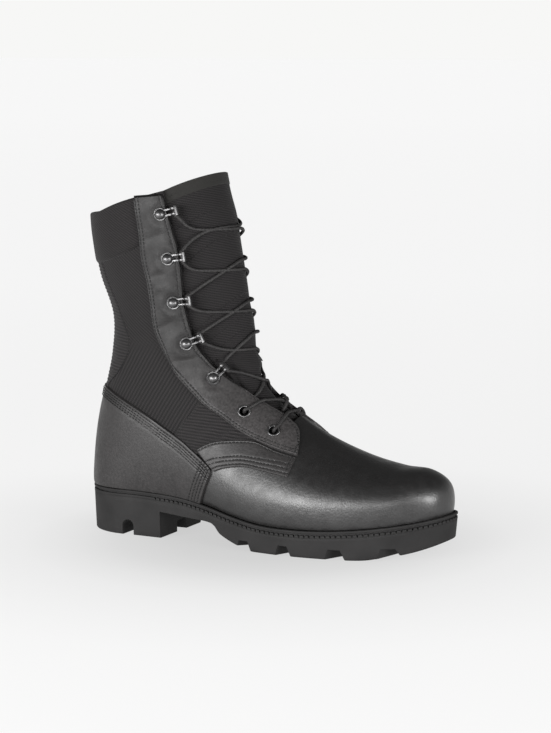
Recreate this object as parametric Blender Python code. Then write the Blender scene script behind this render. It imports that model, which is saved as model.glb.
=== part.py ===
"""Tactical boot for the right foot: lugged rubber sole, leather and nylon upper, speed-lace loops.

Tables and sizes are in millimetres and the meshes in metres. +X points to the toe, +Y to the inner
(medial) side and +Z up. The origin is on the floor, under the middle of the boot.
"""

import math

import bmesh
import bpy
import numpy as np
from mathutils import Matrix, Vector

MM = 0.001
LATERAL, MEDIAL = -1, 1
SIDE_NAMES = {LATERAL: "lateral", MEDIAL: "medial"}

# Driving sizes
SOLE_LENGTH = 310.0
BALL_WIDTH = 109.0
LEDGE = 3.5  # how far the sole's rim stands out past the upper
WALL = 2.0  # thickness of the upper
GAP = 0.35  # clearance between pieces that lie on each other
LAY = 0.7  # clearance under what is laid over the upper, whose flat facets cut inside the curve
OVERLAY = 1.5  # thickness of leather laid over the upper
WEBBING = 1.1  # thickness of nylon laid over the upper
TONGUE = 2.4
TONGUE_GAP = 1.1  # clearance between the tongue and the upper's inside
INSOLE = 4.0
LACE_RADIUS = 1.5
SHARP_ANGLE = math.radians(40)

# Outline of the sole's rim in plan, from the toe tip round the outer side to the heel and back,
# as shares of half the length and of half the ball's width.
RIM_OUTLINE = (  # name, forward, inward
    ("toe tip", 1.0, 0.11),
    ("toe lateral", 0.971, -0.20),
    ("toe side lateral", 0.877, -0.505),
    ("toe base lateral", 0.723, -0.752),
    ("fore lateral", 0.516, -0.927),
    ("ball lateral", 0.290, -1.0),
    ("ball rear lateral", 0.077, -0.963),
    ("waist lateral", -0.161, -0.826),
    ("shank lateral", -0.387, -0.719),
    ("heel lateral", -0.613, -0.683),
    ("heel side lateral", -0.806, -0.661),
    ("heel corner lateral", -0.942, -0.422),
    ("heel back", -1.0, 0.0),
    ("heel corner medial", -0.942, 0.422),
    ("heel side medial", -0.806, 0.651),
    ("heel medial", -0.613, 0.651),
    ("waist medial", -0.355, 0.606),
    ("waist front medial", -0.097, 0.679),
    ("ball rear medial", 0.142, 0.872),
    ("ball medial", 0.374, 1.0),
    ("fore medial", 0.581, 0.972),
    ("toe base medial", 0.761, 0.853),
    ("toe side medial", 0.903, 0.615),
    ("toe medial", 0.977, 0.367),
)

# Height of the sole's rim along its length.
RIM_PROFILE = (  # x, height
    (-155, 35.8),
    (-115, 36.5),
    (-87, 36.0),
    (-60, 34.4),
    (-36, 30.8),
    (-12, 25.7),
    (16, 21.7),
    (50, 21.0),
    (84, 22.8),
    (115, 26.2),
    (140, 30.2),
    (155, 33.2),
)

# Underside of the sole in front of the heel: arch, flat forefoot, toe spring.
HEEL_BREAST = -79.0
FOREFOOT_FLAT = (10.0, 88.0)
UNDERSIDE = (  # x, height
    (-79, 21.5),
    (-55, 19.6),
    (-34, 18.6),
    (-27, 16.2),
    (-21, 10.0),
    (-7, 4.2),
    (FOREFOOT_FLAT[0], 0.0),
    (FOREFOOT_FLAT[1], 0.0),
    (110, 2.0),
    (128, 5.2),
    (142, 9.0),
    (155, 13.8),
)

# Side of the sole from its rim down: how far in from the outline, and how far below the rim.
SOLE_SIDE = (  # name, inset, drop
    ("rim", 0.0, 0.0),
    ("rib foot", 0.0, 2.4),
    ("groove top", 1.1, 2.9),
    ("groove foot", 1.1, 4.2),
    ("wall top", 0.2, 4.7),
)
WALL_FOOT_INSET = 1.5
SOLE_EDGE_INSET = 2.5
SOLE_EDGE_RISE = 0.9

# Lugs: gaps cut in from each edge of the forefoot, slanting forward to the middle.
LUG_GAPS = (  # x at the edge, length along the edge at the bottom, depth
    (-1.0, 15.0, 8.0),
    (36.2, 13.5, 8.0),
    (76.2, 14.5, 8.0),
    (110.0, 14.0, 8.0),
    (129.0, 7.5, 4.0),
)
LUG_SLANT = math.radians(24)
LUG_SPINE = 9.0  # half width of the solid strip along the middle
LUG_DRAFT = 0.37  # how much each of a gap's sides leans in over its depth
HEEL_NOTCH = (-108.5, 10.0, 12.5)  # x, width, height of the arched notch across the heel
HEEL_SLOT = (16.0, 9.0)  # width and height of the groove from the breast back to the notch
CUT_FLOOR = -20.0  # how deep the sole's cutters reach below the floor
CUT_REACH = 100.0  # how far they reach past both sides

# Sections of the upper, from the toe round the heel to the top of the tongue. Each lies in a plane
# through a point on the front line and a point on the sole or the back line.
SECTIONS = (  # name, front x, front z, low x, low z, middle y, half widths out and in, widest at, powers
    ("nose", 151.3, 43.0, 151.5, None, 6.0, 0.0, 0.0, 0.60, 2.2, 2.2),
    ("tip", 145.6, 57.2, 145.7, None, 6.0, 20.0, 20.0, 0.60, 2.2, 2.2),
    ("toe", 130.0, 65.2, 129.8, None, 5.0, 30.0, 30.0, 0.62, 2.2, 2.2),
    ("cap", 108.0, 66.7, 107.0, None, 3.5, 38.0, 38.0, 0.64, 2.1, 2.2),
    ("vamp", 80.0, 73.5, 80.0, None, 2.0, 45.0, 47.0, 0.68, 1.9, 2.2),
    ("ball", 48.0, 86.9, 45.0, None, 1.0, 50.0, 48.0, 0.72, 1.75, 2.2),
    ("instep", 21.0, 104.5, 5.0, None, 0.0, 49.0, 44.0, 0.74, 1.65, 2.2),
    ("waist", 2.5, 120.0, -35.0, None, 0.0, 45.0, 40.0, 0.70, 1.65, 2.2),
    ("bend", -8.0, 137.0, -78.0, None, 0.0, 42.0, 40.0, 0.60, 1.7, 2.2),
    ("ankle", -13.0, 153.0, -118.0, None, 0.0, 40.5, 40.0, 0.52, 1.8, 2.2),
    ("heel side", -15.2, 162.0, -134.8, None, 0.0, 40.0, 40.0, 0.50, 1.85, 2.2),
    ("heel turn", -17.2, 170.0, -147.0, None, 0.0, 40.0, 40.0, 0.49, 1.9, 2.2),
    ("heel back", -18.8, 177.0, -151.5, None, 0.0, 40.0, 40.0, 0.49, 1.9, 2.2),
    ("heel", -20.6, 184.5, -152.5, 50.0, 0.0, 40.0, 40.0, 0.49, 1.95, 2.2),
    ("counter", -23.3, 197.0, -149.2, 76.0, 0.0, 40.0, 40.0, 0.49, 2.0, 2.2),
    ("achilles", -26.5, 213.0, -142.8, 106.0, 0.0, 40.0, 40.0, 0.50, 2.0, 2.2),
    ("neck", -29.5, 231.0, -134.6, 140.0, 0.0, 40.5, 40.5, 0.50, 2.05, 2.2),
    ("calf low", -32.5, 246.0, -133.2, 172.0, 0.0, 41.0, 41.0, 0.50, 2.05, 2.2),
    ("calf", -36.0, 260.0, -144.8, 205.0, 0.0, 42.0, 42.0, 0.50, 2.1, 2.2),
    ("collar", -39.5, 273.0, -150.2, 235.0, 0.0, 43.0, 43.0, 0.50, 2.1, 2.2),
    ("tongue top", -44.0, 289.0, -152.0, 262.0, 0.0, 43.5, 43.5, 0.50, 2.1, 2.2),
)
HEEL_ROW = [row[0] for row in SECTIONS].index("heel back")
LAST_ROW = len(SECTIONS) - 1
COLLAR_ROW = LAST_ROW - 0.3  # the collar's edge lies a little below the last section
COLLAR_DIP = (0.1, 0.74, 0.12)  # rows by which it dips over the side, at which turn, over how many turns
DIP_FROM_ROW = 17.0  # the dip fades out downwards to here
THROAT_ROW = 5.75  # the throat's front end lies between the ball and the instep

# Seams drawn on the boot's side, as places along its length and height.
EYESTAY = (  # front x, front z, rear x, rear z, from the collar down to the front flap
    (-72.6, 273.8, -96.8, 271.4),
    (-64.5, 242.0, -92.6, 240.5),
    (-58.4, 207.1, -88.3, 211.0),
    (-54.2, 175.8, -83.0, 179.5),
    (-45.6, 152.3, -75.1, 153.5),
    (-29.8, 134.6, -64.6, 134.0),
    (-8.0, 118.3, -47.5, 116.4),
    (15.0, 104.0, -25.0, 100.6),
    (26.0, 97.0, 4.0, 85.2),
    (33.0, 91.3, 24.0, 78.9),
    (38.6, 82.0, 40.6, 74.9),
)
THROAT_STEPS = 9  # rows of the eyestay that run along the throat
FACING_COLUMNS = 4  # points across an eyestay or a band
COUNTER = (  # x, z of the upper edge, from the back of the heel to the front tip
    (-140.0, 117.8),
    (-129.2, 117.3),
    (-112.3, 111.4),
    (-93.2, 102.4),
    (-74.9, 92.0),
    (-56.6, 82.0),
    (-47.3, 75.6),
    (-38.0, 69.0),
    (-31.3, 64.0),
    (-27.2, 59.2),
)
COUNTER_FOOT = -40.2  # x of the counter's front end on the sole
COUNTER_COLUMNS = 18
COUNTER_ROWS = 6
COUNTER_LAY = LAY + 0.45  # the counter bends most, round the heel
QUARTER_BAND = (  # x, z of the upper edge, x, z of the lower edge
    (-42.0, 75.4, -25.2, 59.4),
    (-35.0, 79.3, -18.6, 62.0),
    (-26.0, 82.4, -8.0, 64.2),
    (-12.0, 83.9, 3.0, 64.9),
    (5.0, 83.7, 16.0, 63.2),
    (24.0, 77.7, 28.0, 61.4),
    (40.4, 73.7, 38.4, 59.8),
)
CUFF_SEAM = (  # x, z from the back to the eyestay
    (-147.5, 213.4),
    (-134.0, 216.6),
    (-121.0, 220.2),
    (-107.0, 225.6),
    (-93.4, 232.1),
)
CUFF_TOP = (-98.9, 270.3)  # x, z of the cuff's upper front corner
CUFF_COLUMNS = 10
CUFF_ROWS = 4
BACKSTAY_EDGE = (  # x, z of the webbing's front edge, from the counter up to the cuff
    (-127.0, 121.0),
    (-121.5, 125.5),
    (-113.0, 134.0),
    (-105.5, 146.0),
    (-103.5, 157.0),
    (-107.5, 167.5),
    (-114.5, 178.5),
    (-121.5, 190.5),
    (-127.5, 202.0),
    (-131.0, 212.0),
)
BACKSTAY_ROWS = 12
BACKSTAY_COLUMNS = 5  # on each side of the back
BACKSTAY_LAY = LAY + 0.35  # the upper bends inwards under it, so its facets stand out there
BACKSTAY_CLEAR = 0.22, 0.12  # rows between the webbing's ends and the counter and cuff

# Fittings along the throat, from the top down
RIVETS = (  # x, z of the ball, on each side
    (-74.3, 257.6),
    (-68.4, 223.1),
    (-64.6, 189.0),
    (-54.9, 157.0),
    (-34.0, 130.0),
)
EYELETS = (  # x, z
    (-8.6, 104.6),
    (17.0, 90.8),
)
HOOK_REACH = 12.0  # from the ball to the middle of the loop
HOOK_WIDTH = 6.5
HOOK_PLATE = 1.1
LOOP_OUTER, LOOP_INNER = 3.2, 2.1
BALL_RADIUS = 4.0
HOOK_SEAT = 0.6  # clearance between the plate and the eyestay, which curves under it
HOOK_TAIL = 2.0  # how far the plate runs on behind the ball's middle
HOOK_SHOULDER = 0.6  # how much narrower than the loop the plate is, on each side
TURN_SEGMENTS = 8  # flats round a ball or loop
DOME_STEPS = 4  # rings from a ball's foot to its top
EYELET_RADIUS = 5.0
EYELET_BORE = 3.2
EYELET_BARREL = 3.9
EYELET_HOLE = 4.25
EYELET_SEAT = 0.5  # clearance between the flange and the eyestay, which curves under it
EYELET_FLANGE = (  # radius, height above the flange's seat, from its edge in to the bore
    (EYELET_RADIUS, 0.0),
    (EYELET_RADIUS - 0.3, 0.7),
    (EYELET_BORE + 0.5, 0.9),
    (EYELET_BORE, 0.4),
)
EYELET_SEGMENTS = 12
HOLE_REACH = 6.0  # how far an eyelet's hole cutter reaches past the wall

# Colours (base colour, roughness, metallic)
FINISHES = {
    "leather": ((0.035, 0.034, 0.034, 1.0), 0.42, 0.0),
    "nylon": ((0.018, 0.016, 0.016, 1.0), 0.8, 0.0),
    "webbing": ((0.015, 0.014, 0.014, 1.0), 0.85, 0.0),
    "rubber": ((0.030, 0.029, 0.029, 1.0), 0.65, 0.0),
    "footbed": ((0.05, 0.05, 0.048, 1.0), 0.9, 0.0),
    "black_metal": ((0.03, 0.03, 0.032, 1.0), 0.25, 0.9),
    "lace": ((0.012, 0.011, 0.011, 1.0), 0.8, 0.0),
}


# Curves

OUTLINE_STEPS = 24  # points between two rows of the sole's outline
PROFILE_STEPS = 40  # places read between two points of a side-view profile


def cubic(a, b, c, d, f):
    """The point at share f between b and c on a smooth curve through four points."""
    return b + 0.5 * f * (c - a + f * (2 * a - 5 * b + 4 * c - d + f * (3 * (b - c) + d - a)))


def curve(points, place, before=None):
    """Points of a smooth open curve; place counts the given points from 0."""
    points = np.asarray(points, float)
    start = 2 * points[0] - points[1] if before is None else before
    points = np.vstack([start, points, 2 * points[-1] - points[-2]])
    place = np.asarray(place, float)
    low = np.clip(np.floor(place).astype(int), 0, len(points) - 4)
    return cubic(*(points[low + k] for k in range(4)), (place - low)[..., None])


def closed_curve(points, steps):
    """Points of a smooth closed curve, with a number of steps between two given points."""
    points = np.asarray(points, float)
    place = np.arange(len(points) * steps) / steps
    low = np.floor(place).astype(int)
    near = [points[(low + k) % len(points)] for k in (-1, 0, 1, 2)]
    return cubic(*near, (place - low)[:, None])


def along(points, count):
    """A smooth curve through the points, read at evenly spaced places."""
    return curve(points, np.linspace(0, len(points) - 1, count))


def height_at(table, x):
    """Height of a side-view profile at x."""
    fine = along(table, PROFILE_STEPS * len(table))
    return np.interp(x, fine[:, 0], fine[:, 1])


# The sole's outline


def rim_outline():
    share = np.array([row[1:] for row in RIM_OUTLINE])
    plan = closed_curve(share * (SOLE_LENGTH / 2, BALL_WIDTH / 2), OUTLINE_STEPS)
    plan[:, 1] -= (plan[:, 1].max() + plan[:, 1].min()) / 2
    return plan


PLAN = rim_outline()


def inset_outline(by):
    """The rim's outline moved inwards, as an outer and an inner side that run from heel to toe."""
    step = np.roll(PLAN, -1, 0) - np.roll(PLAN, 1, 0)
    step /= np.linalg.norm(step, axis=1)[:, None]
    moved = PLAN + by * np.stack([step[:, 1], -step[:, 0]], 1)
    toe, heel = PLAN[:, 0].argmax(), PLAN[:, 0].argmin()
    turned = np.roll(moved, -toe, 0)
    split = (heel - toe) % len(moved)
    return {LATERAL: turned[: split + 1][::-1], MEDIAL: np.vstack([turned[split:], turned[:1]])}


def rim_height(x):
    return height_at(RIM_PROFILE, x)


def ground_height(x):
    """Height of the sole's underside before arch and lugs are cut: flat, then the toe spring."""
    return np.where(np.asarray(x) < FOREFOOT_FLAT[1], 0.0, np.maximum(height_at(UNDERSIDE, x), 0.0))


# The upper's own surface

FEATHER = inset_outline(LEDGE)
BLEND_POWER = 12  # how sharply a section keeps at least its width at the sole
SOLE_BULGE = 1.015  # how far it bulges past that width
LEVEL_TURNS = 0.15  # how far above the sole the surface's normals are drawn level
TINY = 0.001


def section_table():
    """The sections' numbers, with the low points on the sole set to its rim."""
    rows = [list(row[1:]) for row in SECTIONS]
    for row in rows[: HEEL_ROW + 1]:
        row[3] = float(rim_height(row[2])) + GAP
    return np.array(rows)


SECTION_NUMBERS = section_table()
# A mirrored section before the nose makes the front line start upright there.
MIRRORED = SECTION_NUMBERS[1] * (1, 1, 1, 1, 1, -1, -1, 1, 1, 1)
MIRRORED[1] = 2 * SECTION_NUMBERS[0, 1] - SECTION_NUMBERS[1, 1]


def section(row):
    """The section's numbers at a place between the rows, and whether it stands on the sole."""
    numbers = curve(SECTION_NUMBERS, row, MIRRORED)
    on_sole = np.asarray(row) <= HEEL_ROW
    numbers[..., 3] = np.where(on_sole, rim_height(numbers[..., 2]) + GAP, numbers[..., 3])
    return numbers, on_sole


def half_widths(row, side):
    """Half widths of the section at its widest place and at the sole."""
    numbers, on_sole = section(row)
    edge = FEATHER[side]
    at_sole = side * (np.interp(numbers[..., 2], edge[:, 0], edge[:, 1]) - numbers[..., 4])
    at_sole = np.where(on_sole, np.maximum(at_sole, 0.0), 0.0)
    widest = np.maximum(numbers[..., 5 if side == LATERAL else 6], 0.0)
    blended = widest**BLEND_POWER + (SOLE_BULGE * at_sole) ** BLEND_POWER
    return blended ** (1 / BLEND_POWER), at_sole


def share_down(turn, widest_at):
    """Share of the way down a section for an even turn round it: 0 in front, 1 at the sole or back."""
    above = widest_at * (1 - np.cos(np.pi * turn))
    below = widest_at + (1 - widest_at) * np.sin(np.pi * (turn - 0.5))
    return np.where(turn <= 0.5, above, below)


def turn_at(share, widest_at):
    above = np.arccos(np.clip(1 - share / widest_at, 0, 1)) / np.pi
    below = 0.5 + np.arcsin(np.clip((share - widest_at) / (1 - widest_at), 0, 1)) / np.pi
    return np.where(share <= widest_at, above, below)


def surface(row, turn, side):
    """Points on the upper's surface: round behind, and straight down to the sole where it is as wide."""
    row, turn = np.broadcast_arrays(np.asarray(row, float), np.asarray(turn, float))
    numbers = np.moveaxis(section(row)[0], -1, 0)
    front_x, front_z, low_x, low_z, middle, _, _, widest_at, top_power, low_power = numbers
    widest, at_sole = half_widths(row, side)
    share = share_down(turn, widest_at)
    above = np.clip(1 - share / widest_at, 0, 1)
    below = np.clip((share - widest_at) / (1 - widest_at), 0, 1)
    upper_half = widest * (1 - above**top_power) ** (1 / top_power)
    rounding = 1 / low_power + (1 - 1 / low_power) * (at_sole / np.maximum(widest, at_sole + TINY)) ** 2
    lower_half = at_sole + (widest - at_sole) * (1 - below**low_power) ** rounding
    y = middle + side * np.where(share <= widest_at, upper_half, lower_half)
    return np.stack([front_x + share * (low_x - front_x), y, front_z + share * (low_z - front_z)], -1)


def dipped(row, turn):
    """Rows moved down beside the collar's dip."""
    depth, middle, width = COLLAR_DIP
    fade = np.clip((row - DIP_FROM_ROW) / (COLLAR_ROW - DIP_FROM_ROW), 0, 1)
    return row - depth * fade * np.exp(-(((turn - middle) / width) ** 2))


def outward(row, turn, side):
    """Unit normals of the upper's surface, level along the edge that stands on the sole."""
    step_row, step_turn, least = 0.02, 0.004, TINY
    row, turn = np.broadcast_arrays(np.asarray(row, float), np.asarray(turn, float))
    inside = np.maximum(turn, least)
    before, after = np.clip(row - step_row, 0, LAST_ROW), np.clip(row + step_row, 0, LAST_ROW)
    nearer, farther = np.clip(turn - step_turn, least, 1), np.clip(turn + step_turn, least, 1)
    along_row = surface(after, inside, side) - surface(before, inside, side)
    round_it = surface(row, farther, side) - surface(row, nearer, side)
    normal = -side * np.cross(along_row, round_it)
    level = np.where(row <= HEEL_ROW, np.clip((1 - turn) / LEVEL_TURNS, 0, 1), 1.0)
    normal[..., 2] *= level
    return normal / np.linalg.norm(normal, axis=-1)[..., None]


def skin(row, turn, side, offset):
    """Points at a distance outside (or, below 0, inside) the upper's surface."""
    return surface(row, turn, side) + np.asarray(offset, float)[..., None] * outward(row, turn, side)


SEAM_STEPS = 12  # places read between two points of a seam's table
THROAT_SAMPLES = 400  # places read along the throat's edge
SEARCH_ROWS = np.linspace(0, LAST_ROW, 1601)
SEARCH_NUMBERS, _ = section(SEARCH_ROWS)


def place_at(x, z):
    """Row and turn of the section line through a point of the side view."""
    front, low = SEARCH_NUMBERS[:, 0:2], SEARCH_NUMBERS[:, 2:4]
    line = low - front
    offset = np.array([x, z]) - front
    across = line[:, 0] * offset[:, 1] - line[:, 1] * offset[:, 0]
    crossings = np.nonzero(np.sign(across[:-1]) != np.sign(across[1:]))[0]
    shares = (offset * line).sum(1) / (line * line).sum(1)
    best = min(crossings, key=lambda k: abs(shares[k] - 0.5))
    fraction = across[best] / (across[best] - across[best + 1])
    row = SEARCH_ROWS[best] + fraction * (SEARCH_ROWS[1] - SEARCH_ROWS[0])
    numbers, _ = section(row)
    share = np.dot([x - numbers[0], z - numbers[1]], numbers[2:4] - numbers[0:2])
    share /= np.dot(numbers[2:4] - numbers[0:2], numbers[2:4] - numbers[0:2])
    return row, float(turn_at(np.clip(share, 0, 1), numbers[7]))


def places(points):
    """Rows and turns of several side-view points, as an array of pairs."""
    return np.array([place_at(x, z) for x, z in points])


def evenly(pairs, count):
    """Rows and turns along a line of pairs, at even distances on the outer side."""
    at = surface(pairs[:, 0], pairs[:, 1], LATERAL)
    run = np.append(0.0, np.cumsum(np.linalg.norm(np.diff(at, axis=0), axis=1)))
    wanted = np.linspace(0, run[-1], count)
    return np.stack([np.interp(wanted, run, pairs[:, k]) for k in (0, 1)], 1)


def seam(points, count):
    """Rows and turns along a smooth side-view line through the points, at even distances."""
    return evenly(places(along(points, SEAM_STEPS * len(points))), count)


THROAT_EDGE = places([row[0:2] for row in EYESTAY[:THROAT_STEPS]])[::-1]


def throat_turn(row):
    """Where the throat's edge crosses a section; in front of the throat the line runs on to the nose."""
    return np.interp(row, THROAT_EDGE[:, 0], THROAT_EDGE[:, 1])


# Making solids


def material_for(node, finish_name):
    colour, roughness, metallic = FINISHES[finish_name]
    material = bpy.data.materials.new(node)
    material.use_nodes = True
    shader = material.node_tree.nodes["Principled BSDF"]
    shader.inputs["Base Color"].default_value = colour
    shader.inputs["Roughness"].default_value = roughness
    shader.inputs["Metallic"].default_value = metallic
    material.diffuse_color = colour
    return material


def add_object(name, mesh, finish_name):
    """A visible piece with a material of its own."""
    piece = bpy.data.objects.new(name, mesh)
    bpy.context.scene.collection.objects.link(piece)
    mesh.materials.clear()
    mesh.materials.append(material_for(name, finish_name))
    mesh.shade_smooth()
    mesh.set_sharp_from_angle(angle=SHARP_ANGLE)
    return piece


def closed_mesh(name, points, faces):
    """A mesh in metres from points in millimetres, with its faces turned outwards."""
    mesh = bpy.data.meshes.new(name)
    mesh.from_pydata((np.asarray(points) * MM).tolist(), [], faces)
    work = bmesh.new()
    work.from_mesh(mesh)
    bmesh.ops.recalc_face_normals(work, faces=work.faces)
    work.to_mesh(mesh)
    work.free()
    return mesh


def grid_faces(index):
    """Quads of a grid of point numbers, leaving out sides that have shrunk to a point."""
    faces = []
    for i in range(index.shape[0] - 1):
        for j in range(index.shape[1] - 1):
            corners = (index[i, j], index[i + 1, j], index[i + 1, j + 1], index[i, j + 1])
            corners = tuple(int(c) for c in dict.fromkeys(corners))
            if len(corners) > 2:
                faces.append(corners)
    return faces


def shell_mesh(name, outer, inner, faces):
    """A solid between two matching sheets: both sheets, and a rim along their free edges."""
    count = len(outer)
    edges = {}
    for face in faces:
        for a, b in zip(face, face[1:] + face[:1]):
            key = (min(a, b), max(a, b))
            edges[key] = None if key in edges else (a, b)
    rims = [(b, a, a + count, b + count) for a, b in filter(None, edges.values())]
    backs = [tuple(count + k for k in reversed(face)) for face in faces]
    return closed_mesh(name, np.vstack([outer, inner]), faces + backs + rims)


def patch_mesh(name, row, turn, side, low, high):
    """A solid sheet over a grid of rows and turns, between two distances from the upper's surface."""
    index = np.arange(row.size).reshape(row.shape)
    faces = grid_faces(index if side == LATERAL else index[:, ::-1])
    outer = skin(row, turn, side, high).reshape(-1, 3)
    inner = skin(row, turn, side, low).reshape(-1, 3)
    return shell_mesh(name, outer, inner, faces)


def ruled(first, second, count):
    """Rows and turns of a grid between two matching edges, each an array of pairs."""
    share = np.linspace(0, 1, count)[None, :, None]
    grid = first[:, None, :] * (1 - share) + second[:, None, :] * share
    return grid[..., 0], grid[..., 1]


def both_sides(lateral, medial):
    """Two matching grids that share their last column, as points in one row across the back."""
    return np.concatenate([lateral, medial[:, -2::-1]], axis=1)


def wrapped_mesh(name, row, turn, low, high):
    """A solid sheet that runs from the outer side round the back to the inner side."""
    outer = both_sides(skin(row, turn, LATERAL, high), skin(row, turn, MEDIAL, high))
    inner = both_sides(skin(row, turn, LATERAL, low), skin(row, turn, MEDIAL, low))
    index = np.arange(outer.shape[0] * outer.shape[1]).reshape(outer.shape[:2])
    return shell_mesh(name, outer.reshape(-1, 3), inner.reshape(-1, 3), grid_faces(index))


def cutter(name, mesh):
    """A helper that only cuts other pieces."""
    tool = bpy.data.objects.new(name, mesh)
    bpy.context.scene.collection.objects.link(tool)
    tool.hide_render = True
    tool.display_type = "WIRE"
    return tool


def cut(piece, tool):
    boolean = piece.modifiers.new(tool.name, "BOOLEAN")
    boolean.operation = "DIFFERENCE"
    boolean.solver = "EXACT"
    boolean.object = tool


# Sole and insole

MIDDLE_OF_SOLE = (-110.0, 104.0)  # x where the heel's and the toe's rounding start
MIDDLE_STATIONS = 19
END_STATIONS = 8
ARCH_STEPS = 4  # points between two rows of the arch's profile
NOTCH_STEPS = 9  # points round the top of the heel's notch


def sole_stations():
    """Places along the sole, close together at toe and heel."""
    turn = np.linspace(0, math.pi / 2, END_STATIONS, endpoint=False)
    heel_end, toe_start = MIDDLE_OF_SOLE
    half = SOLE_LENGTH / 2
    heel = heel_end - (half + heel_end) * np.cos(turn)
    toe = toe_start + (half - toe_start) * np.cos(turn)
    return np.unique(np.concatenate([heel, np.linspace(heel_end, toe_start, MIDDLE_STATIONS), toe]))


def edge_points(side, x, inset, height):
    """Points of the sole's edge beside places x of its rim, moved in and set to a height."""
    rim, moved = inset_outline(0.0)[side], inset_outline(inset)[side]
    steps = np.arange(len(rim))
    place = np.interp(x, rim[:, 0], steps)
    moved_x = np.interp(place, steps, moved[:, 0])
    return np.stack([moved_x, np.interp(place, steps, moved[:, 1]), height(moved_x)], -1)


def edge_loft(name, rings):
    """A solid with the sole's outline from rings, each an inset and a height over x, from the top down."""
    x = sole_stations()
    sides = [np.stack([edge_points(side, x, *ring) for ring in rings]) for side in (LATERAL, MEDIAL)]
    outer = np.arange(sides[0].shape[0] * len(x)).reshape(-1, len(x))
    inner = outer + outer.size
    inner[:, 0], inner[:, -1] = outer[:, 0], outer[:, -1]
    faces = grid_faces(outer) + grid_faces(inner[:, ::-1])
    faces += grid_faces(np.stack([inner[0], outer[0]]))
    faces += grid_faces(np.stack([outer[-1], inner[-1]]))
    mesh = closed_mesh(name, np.concatenate([side.reshape(-1, 3) for side in sides]), faces)
    work = bmesh.new()
    work.from_mesh(mesh)
    bmesh.ops.delete(work, geom=[point for point in work.verts if not point.link_faces], context="VERTS")
    work.to_mesh(mesh)
    work.free()
    return mesh


def prism(points, low, high):
    """A solid between two levels along Y over a side-view outline of x and z."""
    count = len(points)
    ends = [[(x, y, z) for x, z in points] for y in (low, high)]
    faces = [tuple(range(count)), tuple(range(count, 2 * count))]
    faces += [(k, (k + 1) % count, count + (k + 1) % count, count + k) for k in range(count)]
    return closed_mesh("prism", ends[0] + ends[1], faces)


def arch_cutter():
    """What the arch takes away: from the heel's breast to the flat of the forefoot."""
    steps = UNDERSIDE[: [row[0] for row in UNDERSIDE].index(FOREFOOT_FLAT[0]) + 1]
    fine = along(steps, ARCH_STEPS * len(steps))
    below = [(fine[-1, 0], CUT_FLOOR), (HEEL_BREAST, CUT_FLOOR)]
    return cutter("arch_cutter", prism(fine.tolist() + below, -CUT_REACH, CUT_REACH))


def heel_notch_cutter():
    x, width, height = HEEL_NOTCH
    radius = width / 2
    turns = np.linspace(0, math.pi, NOTCH_STEPS)
    arch = [(x + radius * math.cos(t), height - radius + radius * math.sin(t)) for t in turns]
    below = [(x - radius, CUT_FLOOR), (x + radius, CUT_FLOOR)]
    return cutter("heel_notch_cutter", prism(arch + below, -CUT_REACH, CUT_REACH))


def heel_slot_cutter():
    width, height = HEEL_SLOT
    back, front = HEEL_NOTCH[0], HEEL_BREAST + width
    outline = [(back, CUT_FLOOR), (back, height), (front, height), (front, CUT_FLOOR)]
    return cutter("heel_slot_cutter", prism(outline, -width / 2, width / 2))


def lug_cutter():
    """All gaps between the lugs, as separate wedges that slant forward to the spine."""
    loop = (0, 2, 4, 5, 3, 1)
    points, faces = [], []
    for x, length, depth in LUG_GAPS:
        ground = float(ground_height(x))
        levels = ((CUT_FLOOR, 0.0), (0.0, 0.0), (depth, LUG_DRAFT * depth))
        for side in (LATERAL, MEDIAL):
            first = len(points)
            for reach in (BALL_WIDTH, LUG_SPINE):
                shift = math.tan(LUG_SLANT) * (BALL_WIDTH / 2 - reach)
                for rise, narrow in levels:
                    for end in (-1, 1):
                        place = x + shift + end * (length / 2 - narrow)
                        points.append((place, side * reach, ground + rise))
            here = [first + k for k in loop]
            there = [k + len(loop) for k in here]
            faces += [tuple(here), tuple(reversed(there))]
            faces += grid_faces(np.array([here + here[:1], there + there[:1]]))
    return cutter("lug_cutter", closed_mesh("lug_cutter", points, faces))


def make_sole():
    rings = [(inset, lambda x, drop=drop: rim_height(x) - drop) for _, inset, drop in SOLE_SIDE]
    rings.append((WALL_FOOT_INSET, lambda x: ground_height(x) + SOLE_EDGE_RISE))
    rings.append((SOLE_EDGE_INSET, ground_height))
    sole = add_object("outsole", edge_loft("outsole", rings), "rubber")
    for tool in (arch_cutter(), lug_cutter(), heel_notch_cutter(), heel_slot_cutter()):
        cut(sole, tool)


def make_insole():
    inset = LEDGE + WALL + 2 * GAP
    rings = [(inset, lambda x: rim_height(x) + GAP + INSOLE), (inset, lambda x: rim_height(x) + GAP)]
    add_object("insole", edge_loft("insole", rings), "footbed")


# Upper and the pieces laid on it

ROW_RUNS = (  # from row, to row, steps
    (0.0, 2.0, 6),
    (2.0, 5.0, 6),
    (5.0, THROAT_ROW, 2),
    (THROAT_ROW, 9.0, 6),
    (9.0, 12.0, 6),
    (12.0, COLLAR_ROW, 14),
)
FRONT_COLUMNS = 3
SIDE_COLUMNS = 9


def upper_rows():
    runs = [np.linspace(start, stop, steps, endpoint=False) for start, stop, steps in ROW_RUNS]
    return np.append(np.concatenate(runs), COLLAR_ROW)


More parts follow.
